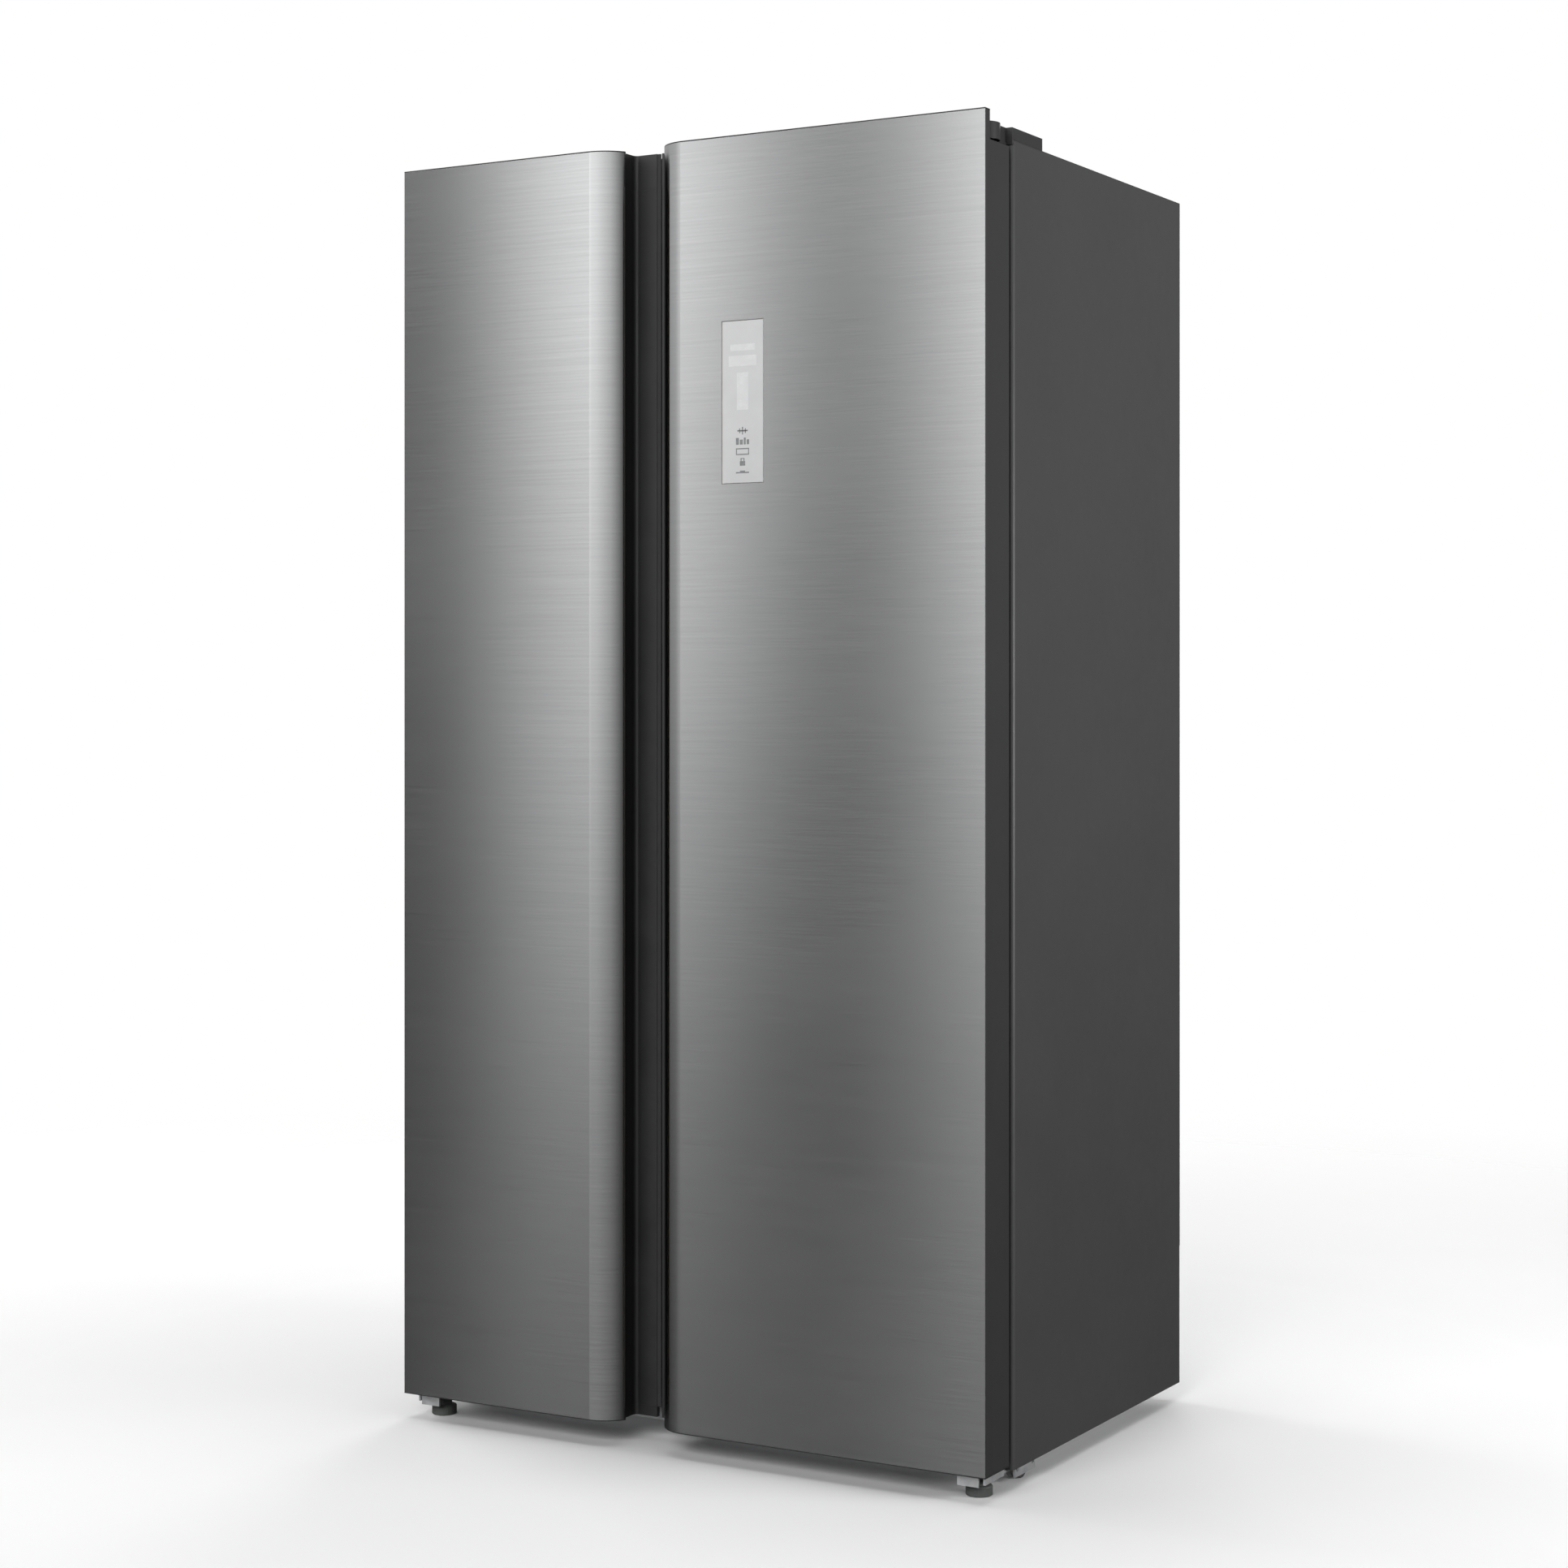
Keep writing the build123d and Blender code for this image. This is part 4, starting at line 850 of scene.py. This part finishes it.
def frame_ring(shape, x, y, band, z):
    """Rounded frame of a shelf: a wide front bar and narrow bars on the other sides."""
    side, front, back = band
    outer = rounded(x, y, 6 * MM)
    inner = rounded((x[0] + side, x[1] - side), (y[0] + front, y[1] - back), 4 * MM)
    rows = [[(a, b, z[0]) for a, b in inner], [(a, b, z[0]) for a, b in outer]]
    rows += [[(a, b, z[1]) for a, b in outer], [(a, b, z[1]) for a, b in inner]]
    shape.loop(rows)


def shelf_set(kind):
    """Glass shelves in their frames, and the ledges moulded in the liner that carry them."""
    node = kind + "_shelves"
    low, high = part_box(node)
    x, y = (low[0], high[0]), (low[1], high[1])
    frames, panes, ledges = Shape(), Shape(), Shape()
    inset = 5 * MM
    for level in SHELF_LEVELS[kind]:
        z = level * MM
        frame_ring(frames, x, y, (12 * MM, 18 * MM, 12 * MM), (z - FRAME_BELOW, z - 0.1 * MM))
        frame_ring(frames, x, y, (inset, 2 * inset, inset), (z - 0.1 * MM, z + GLASS))
        outline = rounded((x[0] + inset, x[1] - inset), (y[0] + 2 * inset, y[1] - inset), 4 * MM)
        panes.prism(outline, z, z + GLASS)
        for wall, sign in ((x[0], 1), (x[1], -1)):
            reach = sorted((wall, wall + sign * 9 * MM))
            ledges.box(reach, (y[0], y[1] - 4 * MM), (z - FRAME_BELOW - 8 * MM, z - FRAME_BELOW - 0.2 * MM))
    frames.piece(kind + "_shelf_frames", "cabinet", "white_plastic", node, edge=0.9 * MM)
    panes.piece(kind + "_shelf_glass", "cabinet", "clear_shelf", edge=0.6 * MM)
    ledges.piece(kind + "_shelf_ledges", "cabinet", "white_liner", edge=2.5 * MM, segments=3)


def lamp_lenses():
    """Ribbed lenses over the compartments' lamps."""
    low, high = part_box("interior_lamps")
    lenses = Shape()
    pitch = LENS_WIDE / LENS_RIBS
    for x0 in (low[0], high[0] - LENS_WIDE):
        outline = [(x0, high[2]), (x0, low[2] + 1.5 * MM)]
        for rib in range(LENS_RIBS):
            outline += [(x0 + (rib + 0.5) * pitch, low[2]), (x0 + (rib + 1) * pitch, low[2] + 1.2 * MM)]
        outline.append((x0 + LENS_WIDE, high[2]))
        lenses.prism(outline, low[1], high[1], "Y")
    lenses.piece("lamp_ribbed_lenses", "cabinet", "lamp_lens", "interior_lamps", sharp=20)


def drawer_trim(node):
    """White handle moulding along the drawer's front edge."""
    low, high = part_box(node)
    x = (low[0] + DRAWER_RIM, high[0] - DRAWER_RIM)
    section = [
        (10.2, -38), (8.8, -38), (8.8, -27), (1.5, -27), (0.6, -26), (0.6, -23.5),
        (8.0, -22), (8.8, -19), (8.8, 0.8), (14.2, 0.8), (14.2, 0), (10.2, -1),
    ]
    outline = [(low[1] + depth * MM, high[2] + rise * MM) for depth, rise in section]
    Shape().prism(outline, *x, "X").piece(node + "_handle", node, "white_plastic", edge=0.5 * MM)


def bin_trim(name):
    """White guard bands round the upper edge of the door bins."""
    low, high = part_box(name + "_bins")
    bands = Shape()
    x = (low[0] + 1 * MM, high[0] - 1 * MM)
    for z, height, reach in BINS:
        top = (z + height) * MM
        front = reach * MM
        bands.box(x, (front - 3.4 * MM, front + 1.2 * MM), (top - 14 * MM, top + 1.2 * MM))
    bands.piece(name + "_bin_bands", name, "white_plastic", edge=1.0 * MM, segments=3)


for kind_name in ("freezer", "fridge"):
    shelf_set(kind_name)
    bin_trim(kind_name + "_door")
for drawer_node in ("crisper_upper", "crisper_lower", "freezer_drawer_upper", "freezer_drawer_lower"):
    drawer_trim(drawer_node)
lamp_lenses()


# ---------------------------------------------------------------- the other parts, redrawn

EDGE_WIDTHS = {
    "hinge_cover_left": 1.6 * MM,
    "hinge_cover_right": 1.6 * MM,
    "bottom_hinge_left": 0.5 * MM,
    "bottom_hinge_right": 0.5 * MM,
    "back_panel": 0.0,
    "side_panel_left": 0.3 * MM,
    "side_panel_right": 0.3 * MM,
    "freezer_liner": 0.8 * MM,
    "fridge_liner": 0.8 * MM,
}
FINISHES = {"fridge_door_end_caps": "grip_plastic", "freezer_door_end_caps": "grip_plastic"}
INSIDE_ONLY = ("cabinet_foam", "fridge_door_foam", "freezer_door_foam", "display_board")

for node_name in sorted(NODES):
    if node_name in INSIDE_ONLY:
        NODES[node_name].data.materials.clear()
        NODES[node_name].data.materials.append(MATERIALS[SLOT_OF[node_name]])
    elif not NODES[node_name].hide_render:
        redrawn = refined(node_name, EDGE_WIDTHS.get(node_name, 0.4 * MM))
        if node_name in FINISHES:
            dressed(redrawn, FINISHES[node_name])


# ---------------------------------------------------------------- stage, light and camera


def make_floor():
    """Pale studio floor that fades into the surround."""
    mesh = bpy.data.meshes.new("floor")
    reach = 9
    corners = [(-reach, -reach, 0), (reach, -reach, 0), (reach, reach, 0), (-reach, reach, 0)]
    mesh.from_pydata(corners, [], [(0, 1, 2, 3)])
    floor = bpy.data.objects.new("floor", mesh)
    bpy.context.scene.collection.objects.link(floor)
    paint = Paint("floor_paper", roughness=0.95, specular_ior_level=0.05)
    paint.colour(paint.ramp(paint.noise(1.5, 3, 0.5), (0.3, (0.93, 0.93, 0.93)), (0.7, (0.95, 0.95, 0.95))))
    distance = paint.node("ShaderNodeVectorMath", operation="LENGTH")
    paint.link(paint.place, distance.inputs[0])
    paint.link(paint.spread(distance.outputs["Value"], 1.2, 3.2, 1.0, 0.0), paint.shader.inputs["Alpha"])
    mesh.materials.append(paint.material)
    floor.visible_glossy = False
    floor.visible_diffuse = False


# The surround's brightness by compass angle: 0 straight in front of the doors, negative to their left.
AROUND = (
    (-180, 0.35), (-120, 0.60), (-95, 0.80), (-72, 0.95), (-60, 1.05), (-50, 1.35), (-44, 1.65),
    (-40.8, 1.70), (-39.6, 0.20), (-38.6, 0.0), (-36.6, 0.0), (-36.1, 0.45), (-35.6, 1.20), (-34.9, 2.30),
    (-34.2, 3.10),
    (-33.4, 3.20), (-32.4, 2.40), (-31.5, 1.70), (-30.6, 0.90), (-29.8, 0.34), (-28.8, 0.12), (-28, 0.35),
    (-27.2, 1.00), (-26.4, 2.10), (-25.4, 2.90), (-20, 2.30), (0, 2.10), (40, 1.40), (80, 0.30), (120, 0.30),
    (180, 0.35),
)
# Its brightness by height, as the sine of the angle above the horizon.
UPWARD = (
    (-1.0, 0.55), (-0.6, 0.50), (-0.42, 0.06), (-0.25, 0.04), (-0.15, 0.09), (0.0, 0.48), (0.12, 0.90),
    (0.30, 1.05), (1.0, 0.80),
)
BRIGHTEST = 3.2


def make_world():
    """White surround for the camera, and a studio of soft bands that lights the metal."""
    world = bpy.data.worlds.new("studio")
    bpy.context.scene.world = world
    world.use_nodes = True
    tree = world.node_tree
    tree.nodes.clear()

    def ramp(value, low, high, stops):
        place = tree.nodes.new("ShaderNodeMapRange")
        place.inputs["From Min"].default_value = low
        place.inputs["From Max"].default_value = high
        tree.links.new(value, place.inputs["Value"])
        made = tree.nodes.new("ShaderNodeValToRGB")
        elements = made.color_ramp.elements
        while len(elements) < len(stops):
            elements.new(0.5)
        for element, (at, level) in zip(elements, stops):
            element.position = (at - low) / (high - low)
            grey = level / BRIGHTEST
            element.color = (grey, grey, grey, 1)
        tree.links.new(place.outputs["Result"], made.inputs["Fac"])
        return made.outputs["Color"]

    coordinates = tree.nodes.new("ShaderNodeTexCoord")
    split = tree.nodes.new("ShaderNodeSeparateXYZ")
    tree.links.new(coordinates.outputs["Generated"], split.inputs[0])
    ahead = tree.nodes.new("ShaderNodeMath")
    ahead.operation = "MULTIPLY"
    ahead.inputs[1].default_value = -1.0
    tree.links.new(split.outputs["Y"], ahead.inputs[0])
    compass = tree.nodes.new("ShaderNodeMath")
    compass.operation = "ARCTAN2"
    tree.links.new(split.outputs["X"], compass.inputs[0])
    tree.links.new(ahead.outputs[0], compass.inputs[1])
    degrees = tree.nodes.new("ShaderNodeMath")
    degrees.operation = "DEGREES"
    tree.links.new(compass.outputs[0], degrees.inputs[0])
    both = tree.nodes.new("ShaderNodeMix")
    both.data_type = "RGBA"
    both.blend_type = "MULTIPLY"
    both.inputs["Factor"].default_value = 1.0
    tree.links.new(ramp(degrees.outputs[0], -180, 180, AROUND), both.inputs[6])
    tree.links.new(ramp(split.outputs["Z"], -1, 1, UPWARD), both.inputs[7])
    lit = tree.nodes.new("ShaderNodeBackground")
    lit.inputs["Strength"].default_value = BRIGHTEST * BRIGHTEST
    tree.links.new(both.outputs[2], lit.inputs["Color"])
    seen = tree.nodes.new("ShaderNodeBackground")
    seen.inputs["Color"].default_value = (1, 1, 1, 1)
    path = tree.nodes.new("ShaderNodeLightPath")
    mix = tree.nodes.new("ShaderNodeMixShader")
    tree.links.new(path.outputs["Is Camera Ray"], mix.inputs["Fac"])
    tree.links.new(lit.outputs[0], mix.inputs[1])
    tree.links.new(seen.outputs[0], mix.inputs[2])
    output = tree.nodes.new("ShaderNodeOutputWorld")
    tree.links.new(mix.outputs[0], output.inputs["Surface"])
    world.cycles_visibility.diffuse = False


def soft_box(name, place, target, width, height, power, glossy=True):
    """Rectangular studio light aimed at a point."""
    data = bpy.data.lights.new(name, "AREA")
    data.shape = "RECTANGLE"
    data.size = width
    data.size_y = height
    data.energy = power
    lamp = bpy.data.objects.new(name, data)
    bpy.context.scene.collection.objects.link(lamp)
    lamp.location = place
    lamp.rotation_euler = (Vector(target) - Vector(place)).to_track_quat("-Z", "Y").to_euler()
    lamp.visible_glossy = glossy
    return lamp


def make_lights():
    """Soft boxes that fill the painted sides, the top and the back."""
    soft_box("front_box", (0.6, -4.5, 2.6), (0.0, -0.3, 1.1), 3.0, 2.0, 150, glossy=False)
    soft_box("top_box", (0.0, 0.2, 4.6), (0.0, 0.0, 0.0), 3.6, 3.6, 90, glossy=False)
    soft_box("side_box", (3.4, 0.3, 1.05), (0.45, 0.0, 1.05), 1.4, 0.9, 62)
    soft_box("back_box", (-0.9, 4.2, 2.6), (0.0, 0.3, 0.9), 2.8, 2.4, 90)
    soft_box("left_box", (-4.0, 0.4, 2.2), (-0.45, 0.0, 0.9), 2.4, 2.4, 80, glossy=False)


CAMERA_PLACE = (2.0673, -3.6199, 1.0206)
CAMERA_TURN = 29.98
FOCAL_IN_FRAMES = 3592.6 / 1932
HORIZON_RISE = (966 - 856.7) / 1932
SENSOR = 36.0


def make_camera():
    """Level camera to the right of the doors, with the frame shifted down a little."""
    data = bpy.data.cameras.new("camera")
    data.sensor_width = SENSOR
    data.lens = FOCAL_IN_FRAMES * SENSOR
    data.shift_y = -HORIZON_RISE
    camera = bpy.data.objects.new("camera", data)
    bpy.context.scene.collection.objects.link(camera)
    camera.location = CAMERA_PLACE
    camera.rotation_euler = (math.radians(90), 0, math.radians(CAMERA_TURN))
    bpy.context.scene.camera = camera


make_floor()
make_world()
make_lights()
make_camera()
bpy.context.scene.view_settings.view_transform = "Standard"
